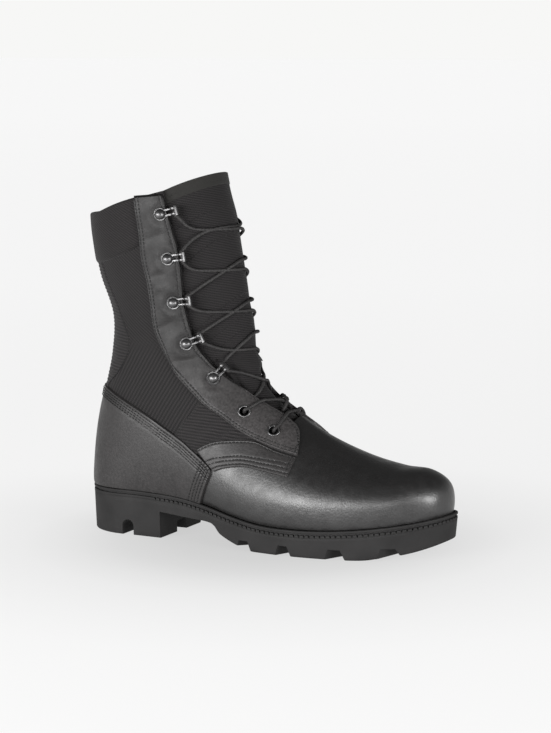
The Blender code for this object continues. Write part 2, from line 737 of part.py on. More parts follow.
def make_upper():
    """One wall with a grid on each side; the sides share the nose, the vamp's ridge and the back."""
    rows = upper_rows()
    throat = throat_turn(rows)[:, None]
    front = throat * np.linspace(0, 1, FRONT_COLUMNS, endpoint=False)
    rear = throat + (1 - throat) * np.linspace(0, 1, SIDE_COLUMNS + 1)
    turn = np.hstack([front, rear])
    row = dipped(np.repeat(rows[:, None], turn.shape[1], 1), turn)
    index = {LATERAL: np.arange(row.size).reshape(row.shape)}
    index[MEDIAL] = index[LATERAL] + row.size
    closed_in_front, closed_behind = rows <= THROAT_ROW, rows >= HEEL_ROW
    index[MEDIAL][0] = index[LATERAL][0]
    index[MEDIAL][closed_in_front, 0] = index[LATERAL][closed_in_front, 0]
    index[MEDIAL][closed_behind, -1] = index[LATERAL][closed_behind, -1]
    faces = []
    for side, order in ((LATERAL, 1), (MEDIAL, -1)):
        grid = index[side]
        front_rows = int(closed_in_front.sum())
        faces += grid_faces(grid[:front_rows, : FRONT_COLUMNS + 1][:, ::order])
        faces += grid_faces(grid[:, FRONT_COLUMNS:][:, ::order])
    outer = np.concatenate([skin(row, turn, side, 0.0).reshape(-1, 3) for side in (LATERAL, MEDIAL)])
    inner = np.concatenate([skin(row, turn, side, -WALL).reshape(-1, 3) for side in (LATERAL, MEDIAL)])
    used = np.unique(np.concatenate([np.array(face) for face in faces]))
    number = {int(old): new for new, old in enumerate(used)}
    faces = [tuple(number[k] for k in face) for face in faces]
    return add_object("upper", shell_mesh("upper", outer[used], inner[used], faces), "nylon")


def make_eyestay(side):
    front = along(places([row[0:2] for row in EYESTAY]), 2 * len(EYESTAY) - 1)
    rear = along(places([row[2:4] for row in EYESTAY]), 2 * len(EYESTAY) - 1)
    row, turn = ruled(front, rear, FACING_COLUMNS)
    name = "eyestay_" + SIDE_NAMES[side]
    return add_object(name, patch_mesh(name, row, turn, side, LAY, LAY + OVERLAY), "leather")


def make_quarter_band(side):
    upper_edge = along(places([row[0:2] for row in QUARTER_BAND]), 2 * len(QUARTER_BAND) - 1)
    lower_edge = along(places([row[2:4] for row in QUARTER_BAND]), 2 * len(QUARTER_BAND) - 1)
    row, turn = ruled(upper_edge, lower_edge, FACING_COLUMNS)
    name = "quarter_band_" + SIDE_NAMES[side]
    add_object(name, patch_mesh(name, row, turn, side, LAY, LAY + OVERLAY), "leather")


def row_on_sole(x):
    """The section row whose low point on the sole is at x."""
    on_sole = SEARCH_ROWS <= HEEL_ROW
    return np.interp(-np.asarray(x), -SEARCH_NUMBERS[on_sole, 2], SEARCH_ROWS[on_sole])


def make_counter():
    edge = seam(COUNTER, COUNTER_COLUMNS)
    foot_rows = np.linspace(HEEL_ROW, row_on_sole(COUNTER_FOOT), SEAM_STEPS * len(COUNTER))
    foot = evenly(np.stack([foot_rows, np.ones_like(foot_rows)], 1), COUNTER_COLUMNS)
    edge[0, 1] = 1.0
    row, turn = ruled(foot[::-1], edge[::-1], COUNTER_ROWS)
    row, turn = row.T, np.minimum(turn.T, 1.0)
    mesh = wrapped_mesh("heel_counter", row, turn, COUNTER_LAY, COUNTER_LAY + OVERLAY)
    add_object("heel_counter", mesh, "leather")


def make_cuff():
    low = seam(CUFF_SEAM, CUFF_COLUMNS)
    low[0, 1] = 1.0
    top_turns = np.linspace(1.0, place_at(*CUFF_TOP)[1], SEAM_STEPS * CUFF_COLUMNS)
    top = evenly(np.stack([dipped(COLLAR_ROW, top_turns), top_turns], 1), CUFF_COLUMNS)
    row, turn = ruled(low[::-1], top[::-1], CUFF_ROWS)
    row, turn = row.T, np.minimum(turn.T, 1.0)
    add_object("cuff", wrapped_mesh("cuff", row, turn, LAY, LAY + WEBBING), "nylon")


def make_backstay():
    start = place_at(*COUNTER[0])[0] + BACKSTAY_CLEAR[0]
    stop = place_at(*CUFF_SEAM[0])[0] - BACKSTAY_CLEAR[1]
    edge = seam(BACKSTAY_EDGE, BACKSTAY_ROWS)
    back = np.stack([np.linspace(start, stop, BACKSTAY_ROWS), np.ones(BACKSTAY_ROWS)], 1)
    row, turn = ruled(edge, back, BACKSTAY_COLUMNS)
    mesh = wrapped_mesh("backstay", row, turn, BACKSTAY_LAY, BACKSTAY_LAY + WEBBING)
    add_object("backstay", mesh, "webbing")


TONGUE_TUCK = 0.06  # how far the tongue runs on under the eyestays, as a turn
TONGUE_FOOT_ROW = THROAT_ROW - 0.4
TONGUE_TOP_ROWS = (LAST_ROW - 0.42, LAST_ROW - 0.06)  # at its sides and at its middle
TONGUE_BULGE = 5.5  # how far its middle stands out, above the bend
BULGE_ROWS = (8.0, 10.5)  # the bulge grows between these rows
BULGE_SHARE = 0.8  # share of the way to the tongue's sides where it ends
TONGUE_COLUMNS, TONGUE_ROWS = 11, 19


def tongue_bulge(row, across):
    """How far the tongue stands out; across runs from -1 to 1 between its sides."""
    grown = np.clip((row - BULGE_ROWS[0]) / (BULGE_ROWS[1] - BULGE_ROWS[0]), 0, 1)
    return TONGUE_BULGE * grown * np.maximum(1 - (across / BULGE_SHARE) ** 2, 0)


def make_tongue():
    across = np.linspace(-1, 1, TONGUE_COLUMNS)
    side_top, middle_top = TONGUE_TOP_ROWS
    top = side_top + (middle_top - side_top) * (1 - across**2)
    row = TONGUE_FOOT_ROW + (top - TONGUE_FOOT_ROW) * np.linspace(0, 1, TONGUE_ROWS)[:, None]
    turn = (throat_turn(row) + TONGUE_TUCK) * np.abs(across)
    outside = across < 0
    bulge = tongue_bulge(row, across)

    def sheet(offset):
        offset = offset + bulge
        lateral, medial = skin(row, turn, LATERAL, offset), skin(row, turn, MEDIAL, offset)
        return np.where(outside[None, :, None], lateral, medial).reshape(-1, 3)

    high, low = sheet(-WALL - TONGUE_GAP), sheet(-WALL - TONGUE_GAP - TONGUE)
    faces = grid_faces(np.arange(row.size).reshape(row.shape))
    add_object("tongue", shell_mesh("tongue", high, low, faces), "nylon")


# Fittings and lace


def frame_on(place, side, offset, towards):
    """A frame on the upper: Z outwards, X towards a point."""
    row, turn = place
    origin = Vector(skin(row, turn, side, offset))
    z_axis = Vector(outward(row, turn, side))
    x_axis = Vector(towards) - origin
    x_axis = (x_axis - x_axis.dot(z_axis) * z_axis).normalized()
    y_axis = z_axis.cross(x_axis)
    frame = Matrix((x_axis, y_axis, z_axis)).transposed().to_4x4()
    frame.translation = origin
    return frame


def nearest_on_throat(point, side):
    rows = np.linspace(THROAT_EDGE[0, 0], THROAT_EDGE[-1, 0], THROAT_SAMPLES)
    edge = skin(rows, throat_turn(rows), side, LAY)
    return edge[np.linalg.norm(edge - np.asarray(point), axis=1).argmin()]


def rivet_frame(number, side):
    place = place_at(*RIVETS[number])
    at = skin(*place, side, LAY)
    return frame_on(place, side, LAY + OVERLAY + HOOK_SEAT, nearest_on_throat(at, side))


def eyelet_frame(number, side):
    place = place_at(*EYELETS[number])
    at = skin(*place, side, LAY)
    return frame_on(place, side, LAY + OVERLAY, nearest_on_throat(at, side))


def metres(frame):
    """The same frame with its place in metres."""
    scaled = frame.copy()
    scaled.translation = frame.translation * MM
    return scaled


def turned_mesh(name, profile, segments, closed):
    """A solid turned round Z from radius and height pairs."""
    points, rings = [], []
    for radius, height in profile:
        if radius == 0:
            rings.append([len(points)] * segments)
            points.append((0, 0, height))
            continue
        rings.append(list(range(len(points), len(points) + segments)))
        for k in range(segments):
            angle = 2 * math.pi * k / segments
            points.append((radius * math.cos(angle), radius * math.sin(angle), height))
    if closed:
        rings.append(rings[0])
    index = np.array(rings)
    return closed_mesh(name, points, grid_faces(np.hstack([index, index[:, :1]])))


def joined_mesh(name, meshes):
    """One solid from overlapping meshes."""
    base = cutter(name + "_base", meshes[0])
    tools = [cutter(f"{name}_tool_{k}", mesh) for k, mesh in enumerate(meshes[1:])]
    for tool in tools:
        boolean = base.modifiers.new(tool.name, "BOOLEAN")
        boolean.operation = "UNION"
        boolean.solver = "EXACT"
        boolean.object = tool
    bpy.context.view_layer.update()
    graph = bpy.context.evaluated_depsgraph_get()
    mesh = bpy.data.meshes.new_from_object(base.evaluated_get(graph))
    mesh.name = name
    for helper in [base, *tools]:
        bpy.data.objects.remove(helper)
    return mesh


def hook_mesh():
    """A ball rivet, its plate and the loop that the lace runs through, with X towards the throat."""
    turns = np.linspace(0, math.pi / 2, DOME_STEPS)[:-1]
    dome = [(BALL_RADIUS * math.cos(t), BALL_RADIUS * math.sin(t)) for t in turns] + [(0, BALL_RADIUS)]
    ball = turned_mesh("ball", [(0, 0)] + dome, TURN_SEGMENTS, False)
    half = HOOK_WIDTH / 2
    reach = HOOK_REACH - (LOOP_OUTER + LOOP_INNER) / 2
    outline = [(-HOOK_TAIL, 0.0), (reach, 0.0), (reach, HOOK_PLATE), (-HOOK_TAIL, HOOK_PLATE)]
    plate = prism(outline, HOOK_SHOULDER - half, half - HOOK_SHOULDER)
    ring = [(LOOP_INNER, -half), (LOOP_OUTER, -half), (LOOP_OUTER, half), (LOOP_INNER, half)]
    loop = turned_mesh("loop", ring, TURN_SEGMENTS, True)
    at = Matrix.Translation(Vector((HOOK_REACH, 0, HOOK_PLATE)) * MM)
    loop.transform(at @ Matrix.Rotation(math.pi / 2, 4, "X"))
    return joined_mesh("hook", [ball, plate, loop])


def make_hooks():
    shared = hook_mesh()
    for side in (LATERAL, MEDIAL):
        for number in range(len(RIVETS)):
            name = f"hook_{SIDE_NAMES[side]}_{number + 1}"
            hook = add_object(name, shared.copy(), "black_metal")
            hook.matrix_world = metres(rivet_frame(number, side))


def make_eyelets(upper, eyestays):
    depth = WALL + LAY + OVERLAY
    barrel = [(EYELET_BORE, -depth), (EYELET_BARREL, -depth), (EYELET_BARREL, EYELET_SEAT)]
    profile = barrel + [(radius, EYELET_SEAT + height) for radius, height in EYELET_FLANGE]
    bottom = -depth - HOLE_REACH
    hole = ((0, bottom), (EYELET_HOLE, bottom), (EYELET_HOLE, HOLE_REACH), (0, HOLE_REACH))
    for side in (LATERAL, MEDIAL):
        for number in range(len(EYELETS)):
            name = f"eyelet_{SIDE_NAMES[side]}_{number + 1}"
            frame = metres(eyelet_frame(number, side))
            eyelet = add_object(name, turned_mesh(name, profile, EYELET_SEGMENTS, True), "black_metal")
            eyelet.matrix_world = frame
            tool = cutter(name + "_hole", turned_mesh(name + "_hole", hole, EYELET_SEGMENTS, False))
            tool.matrix_world = frame
            cut(upper, tool)
            cut(eyestays[side], tool)


def tube_mesh(name, points, radius, sides):
    """A round tube with flat ends along a line of points."""
    points = np.asarray(points)
    tangents = np.gradient(points, axis=0)
    tangents /= np.linalg.norm(tangents, axis=1)[:, None]
    across = np.cross(tangents, (0.0, 0.0, 1.0))
    across /= np.linalg.norm(across, axis=1)[:, None]
    over = np.cross(across, tangents)
    angles = np.arange(sides) * 2 * math.pi / sides
    rings = points[:, None] + radius * (
        np.cos(angles)[None, :, None] * across[:, None] + np.sin(angles)[None, :, None] * over[:, None]
    )
    index = np.arange(len(points) * sides).reshape(len(points), sides)
    faces = grid_faces(np.hstack([index, index[:, :1]]))
    faces += [tuple(range(sides)), tuple(index[-1].tolist())]
    return closed_mesh(name, rings.reshape(-1, 3), faces)


LACE_CLEARANCE = 0.8  # between the lace and the tongue, whose facets stand out where it bends
LACE_LIFT = LACE_CLEARANCE + LACE_RADIUS - WALL - TONGUE_GAP  # the lace's middle
LACE_STEPS = 8
LACE_SIDES = 5
EYELET_LACE = (0.42, 0.14)  # rows above an eyelet where the lace leaves upwards and arrives from below
LOOP_LACE = (0.22, -0.3)  # the same at a loop
LACE_SHORT = (0.03, 0.085)  # turns from the throat's edge to the lace's end, at an eyelet and a loop


def lace_end(step, upwards):
    """Where the lace leaves a fitting; steps count from the bottom eyelet up to the top loop."""
    fittings = (RIVETS + EYELETS)[::-1]
    at_eyelet = step < len(EYELETS)
    row, _ = place_at(*fittings[step])
    row += (EYELET_LACE if at_eyelet else LOOP_LACE)[0 if upwards else 1]
    return np.array([row, throat_turn(row) - LACE_SHORT[0 if at_eyelet else 1]])


def strand(step, side):
    """One strand from a fitting on this side to the next fitting up on the other side."""
    start, stop = lace_end(step, True), lace_end(step + 1, False)
    share = np.linspace(0, 1, LACE_STEPS)
    row = start[0] + (stop[0] - start[0]) * share
    across = -start[1] + (stop[1] + start[1]) * share
    lift = LACE_LIFT + tongue_bulge(row, across / (throat_turn(row) + TONGUE_TUCK))
    here = skin(row, np.abs(across), side, lift)
    there = skin(row, np.abs(across), -side, lift)
    return np.where((across < 0)[:, None], here, there)


def make_laces():
    for step in range(len(EYELETS) + len(RIVETS) - 1):
        name = f"lace_cross_{step + 1}"
        lines = [strand(step, side) for side in (LATERAL, MEDIAL)]
        tubes = [tube_mesh(name, line, LACE_RADIUS, LACE_SIDES) for line in lines]
        add_object(name, joined_mesh(name, tubes), "lace")


def main():
    for piece in list(bpy.data.objects):
        bpy.data.objects.remove(piece)
    make_sole()
    make_insole()
    upper = make_upper()
    eyestays = {side: make_eyestay(side) for side in (LATERAL, MEDIAL)}
    for side in (LATERAL, MEDIAL):
        make_quarter_band(side)
    make_counter()
    make_cuff()
    make_backstay()
    make_tongue()
    make_hooks()
    make_eyelets(upper, eyestays)
    make_laces()


main()
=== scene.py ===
"""Dressed scene of the tactical boot: fine leather, nylon, rubber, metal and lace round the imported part.

Tables and sizes are in millimetres and the meshes in metres. +X points to the toe, +Y to the inner
(medial) side and +Z up. The shape tables and the upper's surface are those of the part itself.
"""

import math

import bmesh
import bpy
import numpy as np
from mathutils import Matrix, Vector


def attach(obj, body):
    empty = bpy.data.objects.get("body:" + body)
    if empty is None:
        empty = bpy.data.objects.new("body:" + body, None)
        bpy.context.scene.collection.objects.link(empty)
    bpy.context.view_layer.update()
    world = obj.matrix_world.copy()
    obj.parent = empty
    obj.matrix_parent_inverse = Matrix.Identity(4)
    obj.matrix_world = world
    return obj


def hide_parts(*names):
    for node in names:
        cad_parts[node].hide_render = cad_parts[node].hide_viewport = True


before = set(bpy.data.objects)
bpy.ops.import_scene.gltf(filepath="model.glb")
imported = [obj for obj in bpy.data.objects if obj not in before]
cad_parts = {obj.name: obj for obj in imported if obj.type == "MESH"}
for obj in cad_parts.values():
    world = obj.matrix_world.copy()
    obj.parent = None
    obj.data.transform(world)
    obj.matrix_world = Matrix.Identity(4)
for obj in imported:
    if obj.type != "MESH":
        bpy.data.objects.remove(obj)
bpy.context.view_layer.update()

MM = 0.001
LATERAL, MEDIAL = -1, 1
SIDES = (LATERAL, MEDIAL)
SIDE_NAMES = {LATERAL: "lateral", MEDIAL: "medial"}

# Sizes shared with the part
SOLE_LENGTH = 310.0
BALL_WIDTH = 109.0
LEDGE = 3.5
WALL = 2.0
GAP = 0.35
LAY = 0.7
OVERLAY = 1.5
TONGUE = 2.4
TONGUE_GAP = 1.1
INSOLE = 4.0
SHARP_ANGLE = math.radians(40)

# Outline of the sole's rim in plan, from the toe tip round the outer side to the heel and back,
# as shares of half the length and of half the ball's width.
RIM_OUTLINE = (  # forward, inward
    (1.0, 0.11), (0.971, -0.20), (0.877, -0.505), (0.723, -0.752), (0.516, -0.927), (0.290, -1.0),
    (0.077, -0.963), (-0.161, -0.826), (-0.387, -0.719), (-0.613, -0.683), (-0.806, -0.661),
    (-0.942, -0.422), (-1.0, 0.0), (-0.942, 0.422), (-0.806, 0.651), (-0.613, 0.651), (-0.355, 0.606),
    (-0.097, 0.679), (0.142, 0.872), (0.374, 1.0), (0.581, 0.972), (0.761, 0.853), (0.903, 0.615),
    (0.977, 0.367),
)

# Height of the sole's rim along its length.
RIM_PROFILE = (  # x, height
    (-155, 35.8), (-115, 36.5), (-87, 36.0), (-60, 34.4), (-36, 30.8), (-12, 25.7), (16, 21.7),
    (50, 21.0), (84, 22.8), (115, 26.2), (140, 30.2), (155, 33.2),
)

# Underside of the sole in front of the heel: arch, flat forefoot, toe spring.
HEEL_BREAST = -79.0
FOREFOOT_FLAT = (10.0, 88.0)
UNDERSIDE = (  # x, height
    (-79, 21.5), (-55, 19.6), (-34, 18.6), (-27, 16.2), (-21, 10.0), (-7, 4.2), (FOREFOOT_FLAT[0], 0.0),
    (FOREFOOT_FLAT[1], 0.0), (110, 2.0), (128, 5.2), (142, 9.0), (155, 13.8),
)

# Lugs: gaps cut in from each edge of the forefoot, slanting forward to the middle.
LUG_GAPS = (  # x at the edge, length along the edge at the bottom, depth
    (-1.0, 15.0, 8.0), (36.2, 13.5, 8.0), (76.2, 14.5, 8.0), (110.0, 14.0, 8.0), (129.0, 7.5, 4.0),
)
LUG_SLANT = math.radians(24)
LUG_SPINE = 9.0  # half width of the solid strip along the middle
LUG_DRAFT = 0.37  # how much each of a gap's sides leans in over its depth
HEEL_NOTCH = (-108.5, 10.0, 12.5)  # x, width, height of the arched notch across the heel
HEEL_SLOT = (16.0, 9.0)  # width and height of the groove from the breast back to the notch
CUT_FLOOR = -20.0  # how deep the sole's cutters reach below the floor
CUT_REACH = 100.0  # how far they reach past both sides

# Sections of the upper, from the toe round the heel to the top of the tongue. Each lies in a plane
# through a point on the front line and a point on the sole or the back line.
SECTIONS = (  # name, front x, front z, low x, low z, middle y, half widths out and in, widest at, powers
    ("nose", 151.3, 43.0, 151.5, None, 6.0, 0.0, 0.0, 0.60, 2.2, 2.2),
    ("tip", 145.6, 57.2, 145.7, None, 6.0, 20.0, 20.0, 0.60, 2.2, 2.2),
    ("toe", 130.0, 65.2, 129.8, None, 5.0, 30.0, 30.0, 0.62, 2.2, 2.2),
    ("cap", 108.0, 66.7, 107.0, None, 3.5, 38.0, 38.0, 0.64, 2.1, 2.2),
    ("vamp", 80.0, 73.5, 80.0, None, 2.0, 45.0, 47.0, 0.68, 1.9, 2.2),
    ("ball", 48.0, 86.9, 45.0, None, 1.0, 50.0, 48.0, 0.72, 1.75, 2.2),
    ("instep", 21.0, 104.5, 5.0, None, 0.0, 49.0, 44.0, 0.74, 1.65, 2.2),
    ("waist", 2.5, 120.0, -35.0, None, 0.0, 45.0, 40.0, 0.70, 1.65, 2.2),
    ("bend", -8.0, 137.0, -78.0, None, 0.0, 42.0, 40.0, 0.60, 1.7, 2.2),
    ("ankle", -13.0, 153.0, -118.0, None, 0.0, 40.5, 40.0, 0.52, 1.8, 2.2),
    ("heel side", -15.2, 162.0, -134.8, None, 0.0, 40.0, 40.0, 0.50, 1.85, 2.2),
    ("heel turn", -17.2, 170.0, -147.0, None, 0.0, 40.0, 40.0, 0.49, 1.9, 2.2),
    ("heel back", -18.8, 177.0, -151.5, None, 0.0, 40.0, 40.0, 0.49, 1.9, 2.2),
    ("heel", -20.6, 184.5, -152.5, 50.0, 0.0, 40.0, 40.0, 0.49, 1.95, 2.2),
    ("counter", -23.3, 197.0, -149.2, 76.0, 0.0, 40.0, 40.0, 0.49, 2.0, 2.2),
    ("achilles", -26.5, 213.0, -142.8, 106.0, 0.0, 40.0, 40.0, 0.50, 2.0, 2.2),
    ("neck", -29.5, 231.0, -134.6, 140.0, 0.0, 40.5, 40.5, 0.50, 2.05, 2.2),
    ("calf low", -32.5, 246.0, -133.2, 172.0, 0.0, 41.0, 41.0, 0.50, 2.05, 2.2),
    ("calf", -36.0, 260.0, -144.8, 205.0, 0.0, 42.0, 42.0, 0.50, 2.1, 2.2),
    ("collar", -39.5, 273.0, -150.2, 235.0, 0.0, 43.0, 43.0, 0.50, 2.1, 2.2),
    ("tongue top", -44.0, 289.0, -152.0, 262.0, 0.0, 43.5, 43.5, 0.50, 2.1, 2.2),
)
HEEL_ROW = [row[0] for row in SECTIONS].index("heel back")
LAST_ROW = len(SECTIONS) - 1
COLLAR_ROW = LAST_ROW - 0.3  # the collar's edge lies a little below the last section
COLLAR_DIP = (0.1, 0.74, 0.12)  # rows by which it dips over the side, at which turn, over how many turns
DIP_FROM_ROW = 17.0  # the dip fades out downwards to here
THROAT_ROW = 5.75  # the throat's front end lies between the ball and the instep

# Seams drawn on the boot's side, as places along its length and height.
EYESTAY = (  # front x, front z, rear x, rear z, from the collar down to the front flap
    (-72.6, 273.8, -96.8, 271.4), (-64.5, 242.0, -92.6, 240.5), (-58.4, 207.1, -88.3, 211.0),
    (-54.2, 175.8, -83.0, 179.5), (-45.6, 152.3, -75.1, 153.5), (-29.8, 134.6, -64.6, 134.0),
    (-8.0, 118.3, -47.5, 116.4), (15.0, 104.0, -25.0, 100.6), (26.0, 97.0, 4.0, 85.2),
    (33.0, 91.3, 24.0, 78.9), (38.6, 82.0, 40.6, 74.9),
)
THROAT_STEPS = 9  # rows of the eyestay that run along the throat
COUNTER = (  # x, z of the upper edge, from the back of the heel to the front tip
    (-140.0, 117.8), (-129.2, 117.3), (-112.3, 111.4), (-93.2, 102.4), (-74.9, 92.0), (-56.6, 82.0),
    (-47.3, 75.6), (-38.0, 69.0), (-31.3, 64.0), (-27.2, 59.2),
)
COUNTER_FOOT = -40.2  # x of the counter's front end on the sole
COUNTER_LAY = LAY + 0.45  # the counter bends most, round the heel
QUARTER_BAND = (  # x, z of the upper edge, x, z of the lower edge
    (-42.0, 75.4, -25.2, 59.4), (-35.0, 79.3, -18.6, 62.0), (-26.0, 82.4, -8.0, 64.2),
    (-12.0, 83.9, 3.0, 64.9), (5.0, 83.7, 16.0, 63.2), (24.0, 77.7, 28.0, 61.4),
    (40.4, 73.7, 38.4, 59.8),
)
CUFF_SEAM = (  # x, z from the back to the eyestay
    (-147.5, 213.4), (-134.0, 216.6), (-121.0, 220.2), (-107.0, 225.6), (-93.4, 232.1),
)
BACKSTAY_EDGE = (  # x, z of the webbing's front edge, from the counter up to the cuff
    (-127.0, 121.0), (-121.5, 125.5), (-113.0, 134.0), (-105.5, 146.0), (-103.5, 157.0),
    (-107.5, 167.5), (-114.5, 178.5), (-121.5, 190.5), (-127.5, 202.0), (-131.0, 212.0),
)

# Fittings along the throat, from the top down
RIVETS = (  # x, z of the ball, on each side
    (-74.3, 257.6), (-68.4, 223.1), (-64.6, 189.0), (-54.9, 157.0), (-34.0, 130.0),
)
EYELETS = (  # x, z
    (-8.6, 104.6), (17.0, 90.8),
)

# Curves

OUTLINE_STEPS = 24  # points between two rows of the sole's outline
PROFILE_STEPS = 40  # places read between two points of a side-view profile


def cubic(a, b, c, d, f):
    """The point at share f between b and c on a smooth curve through four points."""
    return b + 0.5 * f * (c - a + f * (2 * a - 5 * b + 4 * c - d + f * (3 * (b - c) + d - a)))


def curve(points, place, before=None):
    """Points of a smooth open curve; place counts the given points from 0."""
    points = np.asarray(points, float)
    start = 2 * points[0] - points[1] if before is None else before
    points = np.vstack([start, points, 2 * points[-1] - points[-2]])
    place = np.asarray(place, float)
    low = np.clip(np.floor(place).astype(int), 0, len(points) - 4)
    return cubic(*(points[low + k] for k in range(4)), (place - low)[..., None])


def closed_curve(points, steps):
    """Points of a smooth closed curve, with a number of steps between two given points."""
    points = np.asarray(points, float)
    place = np.arange(len(points) * steps) / steps
    low = np.floor(place).astype(int)
    near = [points[(low + k) % len(points)] for k in (-1, 0, 1, 2)]
    return cubic(*near, (place - low)[:, None])


def along(points, count):
    """A smooth curve through the points, read at evenly spaced places."""
    return curve(points, np.linspace(0, len(points) - 1, count))


def height_at(table, x):
    """Height of a side-view profile at x."""
    fine = along(table, PROFILE_STEPS * len(table))
    return np.interp(x, fine[:, 0], fine[:, 1])


# The sole's outline


def rim_outline():
    plan = closed_curve(np.array(RIM_OUTLINE) * (SOLE_LENGTH / 2, BALL_WIDTH / 2), OUTLINE_STEPS)
    plan[:, 1] -= (plan[:, 1].max() + plan[:, 1].min()) / 2
    return plan


PLAN = rim_outline()


def inset_outline(by):
    """The rim's outline moved inwards, as an outer and an inner side that run from heel to toe."""
    step = np.roll(PLAN, -1, 0) - np.roll(PLAN, 1, 0)
    step /= np.linalg.norm(step, axis=1)[:, None]
    moved = PLAN + by * np.stack([step[:, 1], -step[:, 0]], 1)
    toe, heel = PLAN[:, 0].argmax(), PLAN[:, 0].argmin()
    turned = np.roll(moved, -toe, 0)
    split = (heel - toe) % len(moved)
    return {LATERAL: turned[: split + 1][::-1], MEDIAL: np.vstack([turned[split:], turned[:1]])}


def rim_height(x):
    return height_at(RIM_PROFILE, x)


def ground_height(x):
    """Height of the sole's underside before arch and lugs are cut: flat, then the toe spring."""
    return np.where(np.asarray(x) < FOREFOOT_FLAT[1], 0.0, np.maximum(height_at(UNDERSIDE, x), 0.0))


# The upper's own surface

FEATHER = inset_outline(LEDGE)
BLEND_POWER = 12  # how sharply a section keeps at least its width at the sole
SOLE_BULGE = 1.015  # how far it bulges past that width
LEVEL_TURNS = 0.15  # how far above the sole the surface's normals are drawn level
TINY = 0.001


def section_table():
    """The sections' numbers, with the low points on the sole set to its rim."""
    rows = [list(row[1:]) for row in SECTIONS]
    for row in rows[: HEEL_ROW + 1]:
        row[3] = float(rim_height(row[2])) + GAP
    return np.array(rows)


SECTION_NUMBERS = section_table()
# A mirrored section before the nose makes the front line start upright there.
MIRRORED = SECTION_NUMBERS[1] * (1, 1, 1, 1, 1, -1, -1, 1, 1, 1)
MIRRORED[1] = 2 * SECTION_NUMBERS[0, 1] - SECTION_NUMBERS[1, 1]


def section(row):
    """The section's numbers at a place between the rows, and whether it stands on the sole."""
    numbers = curve(SECTION_NUMBERS, row, MIRRORED)
    on_sole = np.asarray(row) <= HEEL_ROW
    numbers[..., 3] = np.where(on_sole, rim_height(numbers[..., 2]) + GAP, numbers[..., 3])
    return numbers, on_sole


def half_widths(row, side):
    """Half widths of the section at its widest place and at the sole."""
    numbers, on_sole = section(row)
    edge = FEATHER[side]
    at_sole = side * (np.interp(numbers[..., 2], edge[:, 0], edge[:, 1]) - numbers[..., 4])
    at_sole = np.where(on_sole, np.maximum(at_sole, 0.0), 0.0)
    widest = np.maximum(numbers[..., 5 if side == LATERAL else 6], 0.0)
    blended = widest**BLEND_POWER + (SOLE_BULGE * at_sole) ** BLEND_POWER
    return blended ** (1 / BLEND_POWER), at_sole


def share_down(turn, widest_at):
    """Share of the way down a section for an even turn round it: 0 in front, 1 at the sole or back."""
    above = widest_at * (1 - np.cos(np.pi * turn))
    below = widest_at + (1 - widest_at) * np.sin(np.pi * (turn - 0.5))
    return np.where(turn <= 0.5, above, below)


def turn_at(share, widest_at):
    above = np.arccos(np.clip(1 - share / widest_at, 0, 1)) / np.pi
    below = 0.5 + np.arcsin(np.clip((share - widest_at) / (1 - widest_at), 0, 1)) / np.pi
    return np.where(share <= widest_at, above, below)


def surface(row, turn, side):
    """Points on the upper's surface: round behind, and straight down to the sole where it is as wide."""
    row, turn = np.broadcast_arrays(np.asarray(row, float), np.asarray(turn, float))
    numbers = np.moveaxis(section(row)[0], -1, 0)
    front_x, front_z, low_x, low_z, middle, _, _, widest_at, top_power, low_power = numbers
    widest, at_sole = half_widths(row, side)
    share = share_down(turn, widest_at)
    above = np.clip(1 - share / widest_at, 0, 1)
    below = np.clip((share - widest_at) / (1 - widest_at), 0, 1)
    upper_half = widest * (1 - above**top_power) ** (1 / top_power)
    rounding = 1 / low_power + (1 - 1 / low_power) * (at_sole / np.maximum(widest, at_sole + TINY)) ** 2
    lower_half = at_sole + (widest - at_sole) * (1 - below**low_power) ** rounding
    y = middle + side * np.where(share <= widest_at, upper_half, lower_half)
    return np.stack([front_x + share * (low_x - front_x), y, front_z + share * (low_z - front_z)], -1)


def dipped(row, turn):
    """Rows moved down beside the collar's dip."""
    depth, middle, width = COLLAR_DIP
    fade = np.clip((row - DIP_FROM_ROW) / (COLLAR_ROW - DIP_FROM_ROW), 0, 1)
    return row - depth * fade * np.exp(-(((turn - middle) / width) ** 2))


def eased(share):
    return share * share * (3 - 2 * share)


def outward(row, turn, side):
    """Unit normals of the upper's surface, level along the edge that stands on the sole."""
    step_row, step_turn, least = 0.02, 0.004, TINY
    row, turn = np.broadcast_arrays(np.asarray(row, float), np.asarray(turn, float))
    inside = np.maximum(turn, least)
    before, after = np.clip(row - step_row, 0, LAST_ROW), np.clip(row + step_row, 0, LAST_ROW)
    nearer, farther = np.clip(turn - step_turn, least, 1), np.clip(turn + step_turn, least, 1)
    along_row = surface(after, inside, side) - surface(before, inside, side)
    round_it = surface(row, farther, side) - surface(row, nearer, side)
    normal = -side * np.cross(along_row, round_it)
    near = 1 - np.clip((1 - turn) / LEVEL_TURNS, 0, 1)
    fade = np.clip(HEEL_ROW + 1 - row, 0, 1)
    level = 1 - eased(near) * eased(fade)
    normal[..., 2] *= level
    return normal / np.linalg.norm(normal, axis=-1)[..., None]


def skin(row, turn, side, offset):
    """Points at a distance outside (or, below 0, inside) the upper's surface."""
    return surface(row, turn, side) + np.asarray(offset, float)[..., None] * outward(row, turn, side)


SEAM_STEPS = 12  # places read between two points of a seam's table
SEARCH_ROWS = np.linspace(0, LAST_ROW, 1601)
SEARCH_NUMBERS, _ = section(SEARCH_ROWS)


